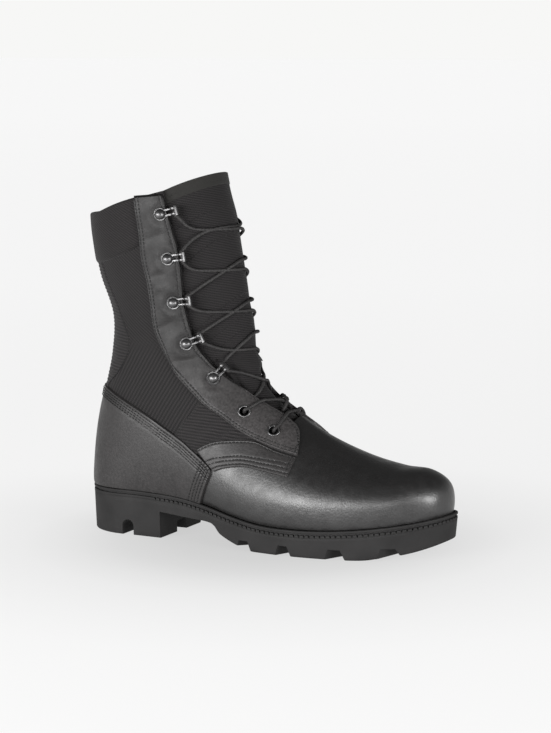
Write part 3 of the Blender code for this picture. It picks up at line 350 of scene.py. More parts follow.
def place_at(x, z):
    """Row and turn of the section line through a point of the side view."""
    front, low = SEARCH_NUMBERS[:, 0:2], SEARCH_NUMBERS[:, 2:4]
    line = low - front
    offset = np.array([x, z]) - front
    across = line[:, 0] * offset[:, 1] - line[:, 1] * offset[:, 0]
    crossings = np.nonzero(np.sign(across[:-1]) != np.sign(across[1:]))[0]
    shares = (offset * line).sum(1) / (line * line).sum(1)
    best = min(crossings, key=lambda k: abs(shares[k] - 0.5))
    fraction = across[best] / (across[best] - across[best + 1])
    row = SEARCH_ROWS[best] + fraction * (SEARCH_ROWS[1] - SEARCH_ROWS[0])
    numbers, _ = section(row)
    share = np.dot([x - numbers[0], z - numbers[1]], numbers[2:4] - numbers[0:2])
    share /= np.dot(numbers[2:4] - numbers[0:2], numbers[2:4] - numbers[0:2])
    return row, float(turn_at(np.clip(share, 0, 1), numbers[7]))


def places(points):
    """Rows and turns of several side-view points, as an array of pairs."""
    return np.array([place_at(x, z) for x, z in points])


THROAT_EDGE = places([row[0:2] for row in EYESTAY[:THROAT_STEPS]])[::-1]


def throat_turn(row):
    """Where the throat's edge crosses a section; in front of the throat the line runs on to the nose."""
    return np.interp(row, THROAT_EDGE[:, 0], THROAT_EDGE[:, 1])


# Meshes


def quads(index):
    """Quads between the neighbours in a grid of point numbers."""
    return np.stack([index[:-1, :-1], index[1:, :-1], index[1:, 1:], index[:-1, 1:]], -1).reshape(-1, 4)


def grid_quads(shape, start=0):
    return quads(start + np.arange(shape[0] * shape[1]).reshape(shape))


def welded(points, faces):
    """Points at one place made one, and faces without the sides that have shrunk to a point."""
    points = np.asarray(points).reshape(-1, 3)
    _, first, group = np.unique(np.round(points, 3), axis=0, return_index=True, return_inverse=True)
    group = group.reshape(-1)
    corners = (tuple(dict.fromkeys(group[list(face)].tolist())) for face in faces)
    return first, [face for face in corners if len(face) > 2]


def tube(rings):
    """Points and faces of a solid through rings of points, closed at both ends."""
    index = np.arange(rings.shape[0] * rings.shape[1]).reshape(rings.shape[:2])
    faces = quads(np.hstack([index, index[:, :1]])).tolist() + [index[0].tolist(), index[-1].tolist()]
    return rings.reshape(-1, 3), [tuple(face) for face in faces]


def joined(parts):
    points, faces, start = [], [], 0
    for part_points, part_faces in parts:
        points.append(np.asarray(part_points, float))
        faces += [tuple(int(k) + start for k in face) for face in part_faces]
        start += len(part_points)
    return np.vstack(points), faces


def add_object(name, points, faces, fabric=None):
    """An object whose faces all look outwards; fabric holds each point's place along the cloth."""
    mesh = bpy.data.meshes.new(name)
    mesh.from_pydata((np.asarray(points, float) * MM).tolist(), [], faces)
    if fabric is not None:
        layer = mesh.attributes.new("fabric", "FLOAT_VECTOR", "POINT")
        flat = np.column_stack([fabric, np.zeros(len(fabric))])
        layer.data.foreach_set("vector", flat.astype(np.float32).ravel())
    work = bmesh.new()
    work.from_mesh(mesh)
    bmesh.ops.recalc_face_normals(work, faces=work.faces)
    work.to_mesh(mesh)
    work.free()
    made = bpy.data.objects.new(name, mesh)
    bpy.context.scene.collection.objects.link(made)
    return made


def add_piece(name, points, faces, material, slot, nodes=(), fabric=None, sharp=SHARP_ANGLE):
    """A shown piece that moves with the boot."""
    piece = add_object(name, points, faces, fabric)
    piece.data.materials.append(material)
    piece.data.shade_smooth()
    piece.data.set_sharp_from_angle(angle=sharp)
    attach(piece, "root")
    if nodes:
        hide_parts(*nodes)
    return piece


def closed_sheet(outer, inner, faces):
    """Points and faces of a solid between two matching sheets, with a rim along their free edges."""
    first, faces = welded(outer, faces)
    outer, inner = outer.reshape(-1, 3)[first], inner.reshape(-1, 3)[first]
    count = len(outer)
    edges = {}
    for face in faces:
        for a, b in zip(face, face[1:] + face[:1]):
            key = (min(a, b), max(a, b))
            edges[key] = None if key in edges else (a, b)
    rims = [(b, a, a + count, b + count) for a, b in filter(None, edges.values())]
    backs = [tuple(count + k for k in reversed(face)) for face in faces]
    return np.vstack([outer, inner]), faces + backs + rims, np.concatenate([first, first])


def crowded(count, amount=0.8):
    """Shares from 0 to 1 that lie closer together at both ends."""
    even = np.linspace(0, 1, count)
    return even - amount * np.sin(2 * math.pi * even) / (2 * math.pi)


def run_along(points):
    """How far each point of a line is along it."""
    return np.append(0.0, np.cumsum(np.linalg.norm(np.diff(points, axis=0), axis=1)))


def read_at(at, run, values):
    """Values along a line, read at places between its points."""
    return np.stack([np.interp(at, run, values[:, k]) for k in range(values.shape[1])], 1)


def at_shares(pairs, shares):
    """Rows and turns along a line of pairs, at shares of its length on the outer side."""
    run = run_along(surface(pairs[:, 0], pairs[:, 1], LATERAL))
    return read_at(shares * run[-1], run, pairs)


def ruled(first, second, shares):
    """Rows and turns of a grid between two matching edges, each an array of pairs."""
    grid = first[:, None, :] * (1 - shares[None, :, None]) + second[:, None, :] * shares[None, :, None]
    return grid[..., 0], np.clip(grid[..., 1], 0.0, 1.0)


def runs(points, axis):
    """How far each grid point is along its line from the line's start, and from its end."""
    step = np.linalg.norm(np.diff(points, axis=axis), axis=-1)
    run = np.cumsum(np.insert(step, 0, 0.0, axis=axis), axis=axis)
    return run, np.take(run, [-1], axis=axis) - run


def rolled(distance, radius):
    """Height share of a rounded edge: 0 at the edge and 1 from the radius on."""
    inside = np.clip(distance / radius, 0, 1)
    return np.sqrt(np.clip(1 - (1 - inside) ** 2, 0, 1))


def raised(edge, top, radius=0.9):
    """Height of an overlay above the upper: rounded along its edges, which keep a little thickness."""
    foot = OVERLAY_ROOT + EDGE_FOOT
    return foot + (top - foot) * rolled(np.maximum(edge, 0), radius)


def rounded_corner(a, b, radius):
    """Distance from two edges that meet in a corner of this radius; below 0 outside the corner."""
    corner = radius - np.hypot(radius - a, radius - b)
    return np.where((a < radius) & (b < radius), corner, np.minimum(a, b))


def line_groove(distance, at, depth, width):
    return -depth * np.exp(-(((distance - at) / width) ** 2))


def crease(points, start, end, depth, width):
    """A soft trough (or, below 0, ridge) along a straight side-view line that fades at its ends."""
    start, end = np.array(start), np.array(end)
    step = end - start
    offset = points[..., [0, 2]] - start
    share = (offset @ step) / (step @ step)
    away = (offset[..., 0] * step[1] - offset[..., 1] * step[0]) / np.linalg.norm(step)
    fade = np.clip(4 * share * (1 - share), 0, 1)
    return -depth * fade * np.exp(-((away / width) ** 2))


def soft_waves(points, amount, length, seed):
    """Slow random unevenness, as a sum of waves in space."""
    random = np.random.default_rng(seed)
    total = np.zeros(points.shape[:-1])
    for _ in range(9):
        direction = random.normal(size=3)
        direction *= 2 * math.pi / (length * random.uniform(0.7, 1.6) * np.linalg.norm(direction))
        total += np.sin(points @ direction + random.uniform(0, 2 * math.pi))
    return amount * total / 3


# Materials


def new_material(name, colour, roughness, metallic=0.0, specular=0.5):
    material = bpy.data.materials.new(name)
    material.use_nodes = True
    shader = material.node_tree.nodes["Principled BSDF"]
    shader.inputs["Base Color"].default_value = (*colour, 1.0)
    shader.inputs["Roughness"].default_value = roughness
    shader.inputs["Metallic"].default_value = metallic
    shader.inputs["Specular IOR Level"].default_value = specular
    return material, material.node_tree, shader


def add_node(tree, kind, inputs=(), **settings):
    """A node with its settings made and its inputs set or linked."""
    node = tree.nodes.new(kind)
    for key, value in settings.items():
        setattr(node, key, value)
    for key, value in dict(inputs).items():
        if isinstance(value, bpy.types.NodeSocket):
            tree.links.new(value, node.inputs[key])
        else:
            node.inputs[key].default_value = value
    return node


def object_place(tree):
    return add_node(tree, "ShaderNodeTexCoord").outputs["Object"]


def calculated(tree, operation, *values):
    return add_node(tree, "ShaderNodeMath", dict(enumerate(values)), operation=operation).outputs[0]


def noise(tree, place, scale, detail=3.0):
    node = add_node(tree, "ShaderNodeTexNoise", {"Vector": place, "Scale": scale, "Detail": detail})
    return node.outputs["Fac"]


def remap(tree, value, low, high, start=0.3, stop=0.7):
    inputs = {"Value": value, "From Min": start, "From Max": stop, "To Min": low, "To Max": high}
    return add_node(tree, "ShaderNodeMapRange", inputs).outputs["Result"]


def tint(tree, shader, value, dark, light):
    """Links the base colour, from dark to light by a value."""
    node = add_node(tree, "ShaderNodeMix", {"Factor": value}, data_type="RGBA")
    node.inputs[6].default_value = (*dark, 1.0)
    node.inputs[7].default_value = (*light, 1.0)
    tree.links.new(node.outputs[2], shader.inputs["Base Color"])


def relief(tree, shader, height, strength, distance_mm, below=None):
    inputs = {"Height": height, "Strength": strength, "Distance": distance_mm * MM}
    if below is not None:
        inputs["Normal"] = below
    normal = add_node(tree, "ShaderNodeBump", inputs).outputs["Normal"]
    tree.links.new(normal, shader.inputs["Normal"])
    return normal


def vary_roughness(tree, shader, value, middle, half_range):
    changed = remap(tree, value, middle - half_range, middle + half_range)
    tree.links.new(changed, shader.inputs["Roughness"])


PATCH_SHARE = 0.3  # how much the leather's patches count beside its speckle
SPECKLE_FLOOR = 0.4  # share of the light tint that the darkest speckle keeps


def leather_material(name, dark, light, roughness, specular, painted_shade_above=None):
    """Grained leather; its tint can be dimmed higher up, as painted shade: from a height, to a height, its
    share there.
    """
    material, tree, shader = new_material(name, light, roughness, 0.0, specular)
    place = object_place(tree)
    patches = noise(tree, place, 38.0)
    speckle = noise(tree, place, 520.0, 4.0)
    mixed = calculated(tree, "MULTIPLY_ADD", patches, PATCH_SHARE, speckle)
    shade = remap(tree, mixed, SPECKLE_FLOOR, 1.0, 0.45, 0.85)
    # Painted shade: above the low height the tint's share falls, down to the given share at the high height.
    if painted_shade_above:
        low, high, share = painted_shade_above
        height = add_node(tree, "ShaderNodeSeparateXYZ", {0: place}).outputs["Z"]
        left = remap(tree, height, 1.0, share, low * MM, high * MM)
        shade = calculated(tree, "MULTIPLY", shade, left)
    tint(tree, shader, shade, dark, light)
    vary_roughness(tree, shader, noise(tree, place, 120.0), roughness, 0.06)
    cells = add_node(tree, "ShaderNodeTexVoronoi", {"Vector": place, "Scale": 620.0}, feature="SMOOTH_F1")
    grain = relief(tree, shader, cells.outputs["Distance"], 0.26, 0.28)
    relief(tree, shader, noise(tree, place, 240.0), 0.25, 0.4, grain)
    return material


def rubber_material():
    material, tree, shader = new_material("sole_rubber", (0.01, 0.01, 0.01), 0.7, 0.0, 0.2)
    place = object_place(tree)
    dusty = remap(tree, noise(tree, place, 60.0, 5.0), 0.0, 1.0)
    tint(tree, shader, dusty, (0.0075, 0.0072, 0.0072), (0.0125, 0.012, 0.012))
    relief(tree, shader, noise(tree, place, 900.0), 0.18, 0.15)
    return material


WEAVE_WOBBLE = 2.5  # how unevenly the cloth's lines run
CROSS_THREADS, CROSS_FINER = 0.35, 1.7  # height and closeness of the threads across its lines


def woven_material(name, dark, light, direction, pitch, depth=0.3, below=None):
    """Cloth with raised lines at an angle, crossed by finer threads, along the fabric's own places.

    The cloth below a height can have lines in another direction: its direction, pitch, low, high.
    """
    material, tree, shader = new_material(name, light, 0.8, 0.0, 0.2)
    place = add_node(tree, "ShaderNodeAttribute", attribute_name="fabric").outputs["Vector"]
    wobble = noise(tree, object_place(tree), 90.0)

    def lines(angle, spacing):
        angle, turns = math.radians(angle), 2 * math.pi / spacing
        across = (-math.sin(angle) * turns, math.cos(angle) * turns, 0.0)
        finer = turns * CROSS_FINER
        down = (math.cos(angle) * finer, math.sin(angle) * finer, 0.0)
        waves = []
        for step in (across, down):
            dot = add_node(tree, "ShaderNodeVectorMath", {0: place, 1: step}, operation="DOT_PRODUCT")
            shifted = calculated(tree, "MULTIPLY_ADD", wobble, WEAVE_WOBBLE, dot.outputs["Value"])
            waves.append(calculated(tree, "SINE", shifted))
        crossed = calculated(tree, "MULTIPLY_ADD", waves[1], CROSS_THREADS, waves[0])
        return remap(tree, crossed, 0.0, 1.0, -1 - CROSS_THREADS, 1 + CROSS_THREADS)

    height = lines(direction, pitch)
    if below is not None:
        level = add_node(tree, "ShaderNodeSeparateXYZ", {"Vector": place}).outputs["Y"]
        share = remap(tree, level, 0.0, 1.0, *below[2:])
        height = add_node(tree, "ShaderNodeMix", {0: share, 2: lines(*below[:2]), 3: height}).outputs[0]
    # Painted shade: the tint runs from dark in the weave's grooves to light on its raised lines, by the same
    # height that drives the bump.
    tint(tree, shader, height, dark, light)
    relief(tree, shader, height, 0.7, depth)
    shader.inputs["Sheen Weight"].default_value = 0.05
    shader.inputs["Sheen Roughness"].default_value = 0.5
    return material


def metal_material():
    material, tree, shader = new_material("black_metal_gloss", (0.08, 0.08, 0.082), 0.36, 0.9)
    place = object_place(tree)
    vary_roughness(tree, shader, noise(tree, place, 300.0), 0.36, 0.06)
    tint(tree, shader, noise(tree, place, 180.0), (0.08, 0.08, 0.082), (0.12, 0.118, 0.118))
    return material


def cord_material(name, dark, light, roughness=0.7):
    material, tree, shader = new_material(name, light, roughness, 0.0, 0.35)
    place = object_place(tree)
    tint(tree, shader, remap(tree, noise(tree, place, 700.0), 0.0, 1.0), dark, light)
    relief(tree, shader, noise(tree, place, 1600.0), 0.3, 0.12)
    return material


VAMP_LEATHER = leather_material(
    "polished_leather", (0.0050, 0.0048, 0.0048), (0.0089, 0.0085, 0.0085), 0.41, 0.58
)
LEATHER = leather_material(
    "black_leather", (0.0060, 0.0056, 0.0056), (0.0225, 0.0211, 0.0211), 0.47, 0.27
)
# Painted light and shade: the facing's light tint is painted pale so that its low front flap looks lit from
# above, and from 92 mm up to 150 mm the tint is dimmed to a share of 0.16, as painted shade.
FACING_LEATHER = leather_material(
    "facing_leather", (0.0050, 0.0047, 0.0047), (0.0450, 0.0423, 0.0423), 0.47, 0.17, (92.0, 150.0, 0.16)
)
RUBBER = rubber_material()
ANKLE_LINES = (58.0, 2.8, 146.0, 160.0)  # direction, pitch of the shaft's lines below; fading heights
SHAFT_CLOTH = woven_material(
    "shaft_twill", (0.0008, 0.0007, 0.0007), (0.0125, 0.0110, 0.0113), -38.0, 2.1, 0.3, ANKLE_LINES
)
CUFF_CLOTH = woven_material("cuff_twill", (0.0008, 0.0007, 0.0007), (0.0115, 0.0098, 0.0101), -30.0, 1.9)
TONGUE_CLOTH = woven_material("tongue_twill", (0.0006, 0.0005, 0.0005), (0.0105, 0.0090, 0.0094), 12.0, 2.0)
WEBBING_CLOTH = woven_material(
    "ribbed_webbing", (0.002, 0.0018, 0.0018), (0.0150, 0.0132, 0.0136), -4.0, 2.4, 0.45
)
BINDING_CLOTH = woven_material(
    "binding_tape", (0.007, 0.0067, 0.0061), (0.014, 0.0134, 0.0122), 50.0, 0.9, 0.15
)
FOOTBED_CLOTH = woven_material("footbed_cloth", (0.03, 0.03, 0.029), (0.06, 0.06, 0.058), 45.0, 1.4, 0.2)
METAL = metal_material()
LACE_CORD = cord_material("lace_cord", (0.003, 0.0027, 0.0027), (0.020, 0.0185, 0.0185))
THREAD = cord_material("thread", (0.001, 0.001, 0.001), (0.004, 0.0039, 0.0039), 0.75)


# Sole

RIM_PITCH, PITCH_STEPS = 4.2, 12  # from one tooth of the rim to the next
TOOTHED_FROM, TOOTH_FADE = -86.0, 4.0  # the teeth start here, grow over this length and run round the toe
NOTCH_SLOPE = 7.0
NOTCH_FROM = 2.2 / NOTCH_SLOPE  # where a notch starts, in pitches from the middle of its tooth
RIB = (  # inset, drop below the rim, and how far both move at a notch
    (2.4, 0.1, 0.0, 0.0), (0.55, 0.0, 0.0, 0.0), (0.15, 0.25, 0.0, 0.0), (0.0, 0.6, 0.0, 0.0),
    (0.0, 1.5, 0.0, 0.0), (0.2, 1.9, 0.0, 0.0), (2.4, 2.1, 0.0, 0.0),
)
TEETH = (  # the same for the toothed edge below the groove
    (2.6, 3.3, 0.0, 1.6), (0.75, 3.3, 0.5, 1.6), (0.3, 3.55, 0.7, 1.55), (0.15, 4.2, 0.6, 1.1),
    (0.2, 5.4, 0.2, 0.2), (0.6, 6.0, 0.0, 0.0), (2.6, 6.0, 0.0, 0.0),
)
SOLE_RINGS = ((8.0, 0.9), (2.0, 0.9), (2.0, 5.4), (0.5, 5.5), (0.3, 5.8))  # inset, drop below the rim
WALL_RINGS = 8
FOOT_RINGS = ((1.5, 1.1), (1.7, 0.6), (2.05, 0.2), (2.6, 0.0))  # inset, rise above the ground
MIDDLE_PART = (-110.0, 104.0)  # x between which the places along the sole are evenly spaced
END_TURN = 2.5  # degrees between the places round its ends
SOLE_STEP, FOOTBED_STEP = 1.8, 4.0


def stations(step):
    """Places along the sole, close together at toe and heel."""
    turn = np.radians(np.arange(0, 90, END_TURN))
    heel_end, toe_start = MIDDLE_PART
    heel_tip, toe_tip = PLAN[:, 0].min(), PLAN[:, 0].max()
    heel = heel_end - (heel_end - heel_tip) * np.cos(turn)
    toe = toe_start + (toe_tip - toe_start) * np.cos(turn)
    middle = np.linspace(heel_end, toe_start, int((toe_start - heel_end) / step))
    return np.unique(np.concatenate([heel, middle, toe]))


def edge_points(side, x, inset, height):
    """Points of the sole's edge beside places x of its rim, moved in and set to a height."""
    rim, moved = inset_outline(0.0)[side], inset_outline(inset)[side]
    place = np.interp(x, rim[:, 0], np.arange(len(rim)))
    moved_x, moved_y = read_at(place, np.arange(len(rim)), moved).T
    return np.stack([moved_x, moved_y, height(moved_x)], -1)


def edge_loft(rings, x):
    """Points and faces of a solid with the sole's outline, from rings of insets and heights."""
    sides = [np.stack([edge_points(side, x, *ring) for ring in rings]) for side in SIDES]
    shape = sides[0].shape[:2]
    count = shape[0] * shape[1]
    faces = [grid_quads(shape), grid_quads(shape, count)]
    for ring in (0, shape[0] - 1):
        near = ring * shape[1] + np.arange(shape[1])
        faces.append(quads(np.stack([near, near + count])))
    points = np.concatenate([side.reshape(-1, 3) for side in sides])
    first, faces = welded(points, np.vstack(faces))
    return points[first], faces


def prism_cutter(name, outline, reach):
    """A cutter that reaches to both sides over a side-view outline of x and z."""
    rings = np.array([[(x, side * reach, z) for x, z in outline] for side in SIDES])
    return add_object(name, *tube(rings))


def cut_now(piece, tools):
    """Cuts the tools out of a piece for good, then removes them."""
    for tool in tools:
        boolean = piece.modifiers.new(tool.name, "BOOLEAN")
        boolean.operation = "DIFFERENCE"
        boolean.solver = "EXACT"
        boolean.object = tool
    bpy.context.view_layer.update()
    graph = bpy.context.evaluated_depsgraph_get()
    mesh = bpy.data.meshes.new_from_object(piece.evaluated_get(graph))
    piece.modifiers.clear()
    piece.data = mesh
    for tool in tools:
        bpy.data.objects.remove(tool)
    mesh.shade_smooth()
    mesh.set_sharp_from_angle(angle=SHARP_ANGLE)


def arch_cutter():
    steps = UNDERSIDE[: [row[0] for row in UNDERSIDE].index(FOREFOOT_FLAT[0]) + 1]
    fine = along(steps, 10 * len(steps))
    below = [(fine[-1, 0], CUT_FLOOR), (HEEL_BREAST, CUT_FLOOR)]
    return prism_cutter("arch_cutter", fine.tolist() + below, CUT_REACH)


def heel_notch_cutter():
    x, width, height = HEEL_NOTCH
    radius = width / 2
    turns = np.linspace(0, math.pi, 25)
    arch = [(x + radius * math.cos(t), height - radius + radius * math.sin(t)) for t in turns]
    below = [(x - radius, CUT_FLOOR), (x + radius, CUT_FLOOR)]
    return prism_cutter("heel_notch_cutter", arch + below, CUT_REACH)


def heel_slot_cutter():
    width, height = HEEL_SLOT
    back, front = HEEL_NOTCH[0], HEEL_BREAST + width
    outline = [(back, CUT_FLOOR), (back, height), (front, height), (front, CUT_FLOOR)]
    return prism_cutter("heel_slot_cutter", outline, width / 2)


def lug_cutter():
    """All gaps between the lugs, as separate wedges that slant forward to the spine."""
    wedges = []
    for x, length, depth in LUG_GAPS:
        ground, narrow = float(ground_height(x)), LUG_DRAFT * depth
        half = [(CUT_FLOOR, 0), (0, 0), (depth, narrow)]
        outline = [(-1, *place) for place in half] + [(1, *place) for place in half[::-1]]
        for side in SIDES:
            rings = []
            for reach in (BALL_WIDTH, LUG_SPINE):
                middle = x + math.tan(LUG_SLANT) * (BALL_WIDTH / 2 - reach)
                ends = [(middle + end * (length / 2 - lean), rise) for end, rise, lean in outline]
                rings.append([(place, side * reach, ground + rise) for place, rise in ends])
            wedges.append(tube(np.array(rings)))
    return add_object("lug_cutter", *joined(wedges))


def make_sole():
    rings = [(inset, lambda x, drop=drop: rim_height(x) - drop) for inset, drop in SOLE_RINGS]
    top_inset, top_drop = SOLE_RINGS[-1]
    foot_inset, foot_rise = FOOT_RINGS[0]
    for share in np.linspace(0, 1, WALL_RINGS + 1)[1:-1]:

        def wall(x, share=share):
            return (1 - share) * (rim_height(x) - top_drop) + share * (ground_height(x) + foot_rise)

        rings.append(((1 - share) * top_inset + share * foot_inset, wall))
    rings += [(inset, lambda x, rise=rise: ground_height(x) + rise) for inset, rise in FOOT_RINGS]
    sole = add_piece("sole", *edge_loft(rings, stations(SOLE_STEP)), RUBBER, "rubber", ["outsole"])
    cut_now(sole, [arch_cutter(), lug_cutter(), heel_notch_cutter(), heel_slot_cutter()])


def make_rim(name, profile):
    """A rail round the sole's edge, notched from the waist forward and smooth round the heel."""
    sides = inset_outline(0.0)
    around = np.vstack([sides[LATERAL], sides[MEDIAL][::-1][1:]])
    run = run_along(around)
    teeth = int(run[-1] / RIM_PITCH)
    at = np.arange(teeth * PITCH_STEPS) * run[-1] / (teeth * PITCH_STEPS)
    line = read_at(at, run, around)
    step = np.roll(line, -1, 0) - np.roll(line, 1, 0)
    step /= np.linalg.norm(step, axis=1)[:, None]
    inwards = np.stack([-step[:, 1], step[:, 0]], 1)
    phase = (at * teeth / run[-1]) % 1.0
    notch = np.clip((np.abs(phase - 0.5) - NOTCH_FROM) * NOTCH_SLOPE, 0, 1)
    notch *= np.clip((line[:, 0] - TOOTHED_FROM) / TOOTH_FADE, 0, 1)
    rings = []
    for inset, drop, move_in, move_down in profile:
        moved = line + inwards * (inset + move_in * notch)[:, None]
        rings.append(np.column_stack([moved, rim_height(line[:, 0]) - drop - move_down * notch]))
    grid = np.stack(rings, 1)
    index = np.arange(grid.shape[0] * grid.shape[1]).reshape(grid.shape[:2])
    index = np.hstack([index, index[:, :1]])
    faces = [tuple(face) for face in quads(np.vstack([index, index[:1]])).tolist()]
    add_piece(name, grid.reshape(-1, 3), faces, RUBBER, "rubber", ["outsole"])


FOOTBED_RINGS = ((14.0, 1.2), (6.0, 0.9), (1.4, 0.0), (0.3, 0.5), (0.0, 1.4), (0.0, INSOLE))  # inset, drop


def make_insole():
    inset = LEDGE + WALL + 2 * GAP
    top = GAP + INSOLE
    rings = [(inset + more, lambda x, drop=drop: rim_height(x) + top - drop) for more, drop in FOOTBED_RINGS]
    points, faces = edge_loft(rings, stations(FOOTBED_STEP))
    add_piece("footbed", points, faces, FOOTBED_CLOTH, "footbed", ["insole"], points[:, :2])


# Upper

ROW_RUNS = (  # from row, to row, steps
    (0.0, 2.0, 34), (2.0, 5.0, 36), (5.0, THROAT_ROW, 10), (THROAT_ROW, 9.0, 44), (9.0, 12.0, 26),
    (12.0, COLLAR_ROW, 84),
)
FRONT_COLUMNS, SIDE_COLUMNS, SIDE_CROWDING = 12, 52, 0.45
UPPER_WAVES = (0.22, 55.0, 11)  # amount, length, seed
LEATHER_BEHIND = (  # x, z of the line above which the upper is cloth; it lies under the overlays
    (-170.0, 80.0), (-110.0, 80.0), (-70.0, 72.0), (-45.0, 62.0), (-38.0, 66.0), (-24.0, 72.0),
    (0.0, 73.5),
)
# The line behind which it is cloth, too
LEATHER_FRONT = ((0.0, 73.5), (14.0, 80.0), (8.0, 94.0), (-2.0, 103.0))


def upper_grid():
    parts = [np.linspace(start, stop, steps, endpoint=False) for start, stop, steps in ROW_RUNS]
    rows = np.append(np.concatenate(parts), COLLAR_ROW)
    throat = throat_turn(rows)[:, None]
    front = throat * np.linspace(0, 1, FRONT_COLUMNS, endpoint=False)
    rear = throat + (1 - throat) * crowded(SIDE_COLUMNS + 1, SIDE_CROWDING)
    turn = np.hstack([front, rear])
    return np.repeat(rows[:, None], turn.shape[1], 1), turn


def is_leather(x, z):
    """Whether side-view places lie in the leather lower part of the upper."""
    behind, front = np.array(LEATHER_BEHIND), np.array(LEATHER_FRONT)
    in_front = x >= np.interp(z, front[:, 1], front[:, 0])
    return in_front | (z < np.interp(x, behind[:, 0], behind[:, 1]))


def fabric_places(points):
    """Places along the cloth: x at the side, run on round the back by the level distance, and the height."""
    run, _ = runs(points * (1, 1, 0), 1)
    side = np.abs(points[..., 1]).argmax(1)[:, None]
    at_side = np.take_along_axis(points[..., 0], side, 1)
    return np.stack([at_side - run + np.take_along_axis(run, side, 1), points[..., 2]], -1)


def make_upper():
    """Leather below and cloth above, as two walls with their own linings."""
    level, turn = upper_grid()
    row = dipped(level, turn)
    beside_throat = np.arange(row.shape[1] - 1) >= FRONT_COLUMNS
    shown = beside_throat[None, :] | (level[1:, :1] <= THROAT_ROW + TINY)
    outer, inner, fabric, faces = [], [], [], []
    for number, side in enumerate(SIDES):
        points = skin(row, turn, side, 0.0)
        outer.append(skin(row, turn, side, soft_waves(points, *UPPER_WAVES)).reshape(-1, 3))
        inner.append(skin(row, turn, side, -WALL).reshape(-1, 3))
        fabric.append(fabric_places(points).reshape(-1, 2))
        faces.append(grid_quads(row.shape, number * row.size)[shown.ravel()][:, ::-side])
    toe_line = np.arange(row.shape[1])  # both sides are joined along it
    faces.append(quads(np.stack([toe_line + row.size, toe_line])))
    outer, inner, fabric, faces = (np.concatenate(part) for part in (outer, inner, fabric, faces))
    middle = outer[faces].mean(1)
    leather = is_leather(middle[:, 0], middle[:, 2])
    made = []
    for name, part, material, slot in (
        ("vamp", faces[leather], VAMP_LEATHER, "upper_shell"),
        ("shaft", faces[~leather], SHAFT_CLOTH, "nylon"),
    ):
        used, number = np.unique(part, return_inverse=True)
        points, sheet, origin = closed_sheet(outer[used], inner[used], number.reshape(part.shape))
        made.append(add_piece(name, points, sheet, material, slot, ["upper"], fabric[used][origin]))
    return made


# Overlays of leather and cloth

STITCH_LENGTH, STITCH_PITCH, STITCH_RADIUS = 2.1, 3.0, 0.45
OVERLAY_TOP = LAY + OVERLAY
OVERLAY_ROOT = -0.5  # how far an overlay's underside is sunk into the upper
EDGE_FOOT = 0.2  # thickness left at its sunk edges
STITCH_SINK = 0.2
SEAMS = []  # places, outward directions of the lines to be stitched


def line_at(row, turn, distance, at):
    """Rows and turns of the line where a distance has one value; distances grow along axis 1."""
    lines = [[np.interp(at, d, values) for d, values in zip(distance, grid)] for grid in (row, turn)]
    return np.array(lines)


def add_seam(row, turn, distance, at, side, height):
    """Keeps the line at one distance, with its height above the upper, to be stitched."""
    if distance[0, 0] > distance[0, -1]:
        row, turn, distance = row[:, ::-1], turn[:, ::-1], distance[:, ::-1]
    line = line_at(row, turn, distance, at)
    SEAMS.append((skin(*line, side, height - STITCH_SINK), outward(*line, side)))


FINE_GROOVE, DEEP_GROOVE, BOLD_GROOVE = (0.28, 0.45), (0.36, 0.5), (0.4, 0.5)  # depth, width
GROOVE_EASE = 0.3  # power with which grooves fade at an overlay's edges


def sew(height, grid, distance, rows, sides, top, groove, ease):
    """Sinks a groove along the line at each distance, and keeps the line to be stitched."""
    for at in rows:
        height += line_groove(distance, at, *groove) * ease
        for side in sides:
            add_seam(*grid, distance, at, side, top)


def overlay_piece(name, row, turn, side, height, material, slot, nodes, fabric=None):
    index = grid_quads(row.shape)[:, ::-side]
    sheets = skin(row, turn, side, height), skin(row, turn, side, OVERLAY_ROOT)
    points, faces, origin = closed_sheet(*sheets, index)
    places_of = None if fabric is None else fabric.reshape(-1, 2)[origin]
    return add_piece(name, points, faces, material, slot, nodes, places_of)


def averaged(grid, times):
    """A grid of points drawn towards their neighbours' middles, its edges kept."""
    grid = grid.copy()
    for _ in range(times):
        beside = grid[1:-1, :-2] + grid[1:-1, 2:]
        grid[1:-1, 1:-1] = (grid[:-2, 1:-1] + grid[2:, 1:-1] + beside) / 4
    return grid


def softened(grid, times):
    """A grid of points without its creases, and with its broad curves as full as before."""
    soft = averaged(grid, times)
    return soft + averaged(grid - soft, times)


def sheet_piece(name, outer, inner, material, slot, nodes):
    """A piece between two sheets of points, with the cloth's places read on the outer one."""
    points, faces, origin = closed_sheet(outer, inner, grid_quads(outer.shape[:2]))
    fabric = fabric_places(outer).reshape(-1, 2)[origin]
    return add_piece(name, points, faces, material, slot, nodes, fabric)


def wrapped_piece(name, row, turn, height, material, slot, nodes, soften=0):
    """An overlay from the outer side round the back to the inner side; the last column is the back."""

    def sheet(offset):
        medial = skin(row, turn, MEDIAL, offset)
        return np.concatenate([skin(row, turn, LATERAL, offset), medial[:, -2::-1]], axis=1)

    base, both = sheet(0.0), np.concatenate([height, height[:, -2::-1]], axis=1)
    outer = softened(base, soften) + both[..., None] * softened(sheet(1.0) - base, soften)
    sheet_piece(name, outer, sheet(OVERLAY_ROOT), material, slot, nodes)


def between(table, columns, across):
    """Rows and turns of a grid between two side-view edges: x, z of the first, x, z of the second."""
    first, second = (along(places([row[k : k + 2] for row in table]), columns) for k in (0, 2))
    return ruled(first, second, across)


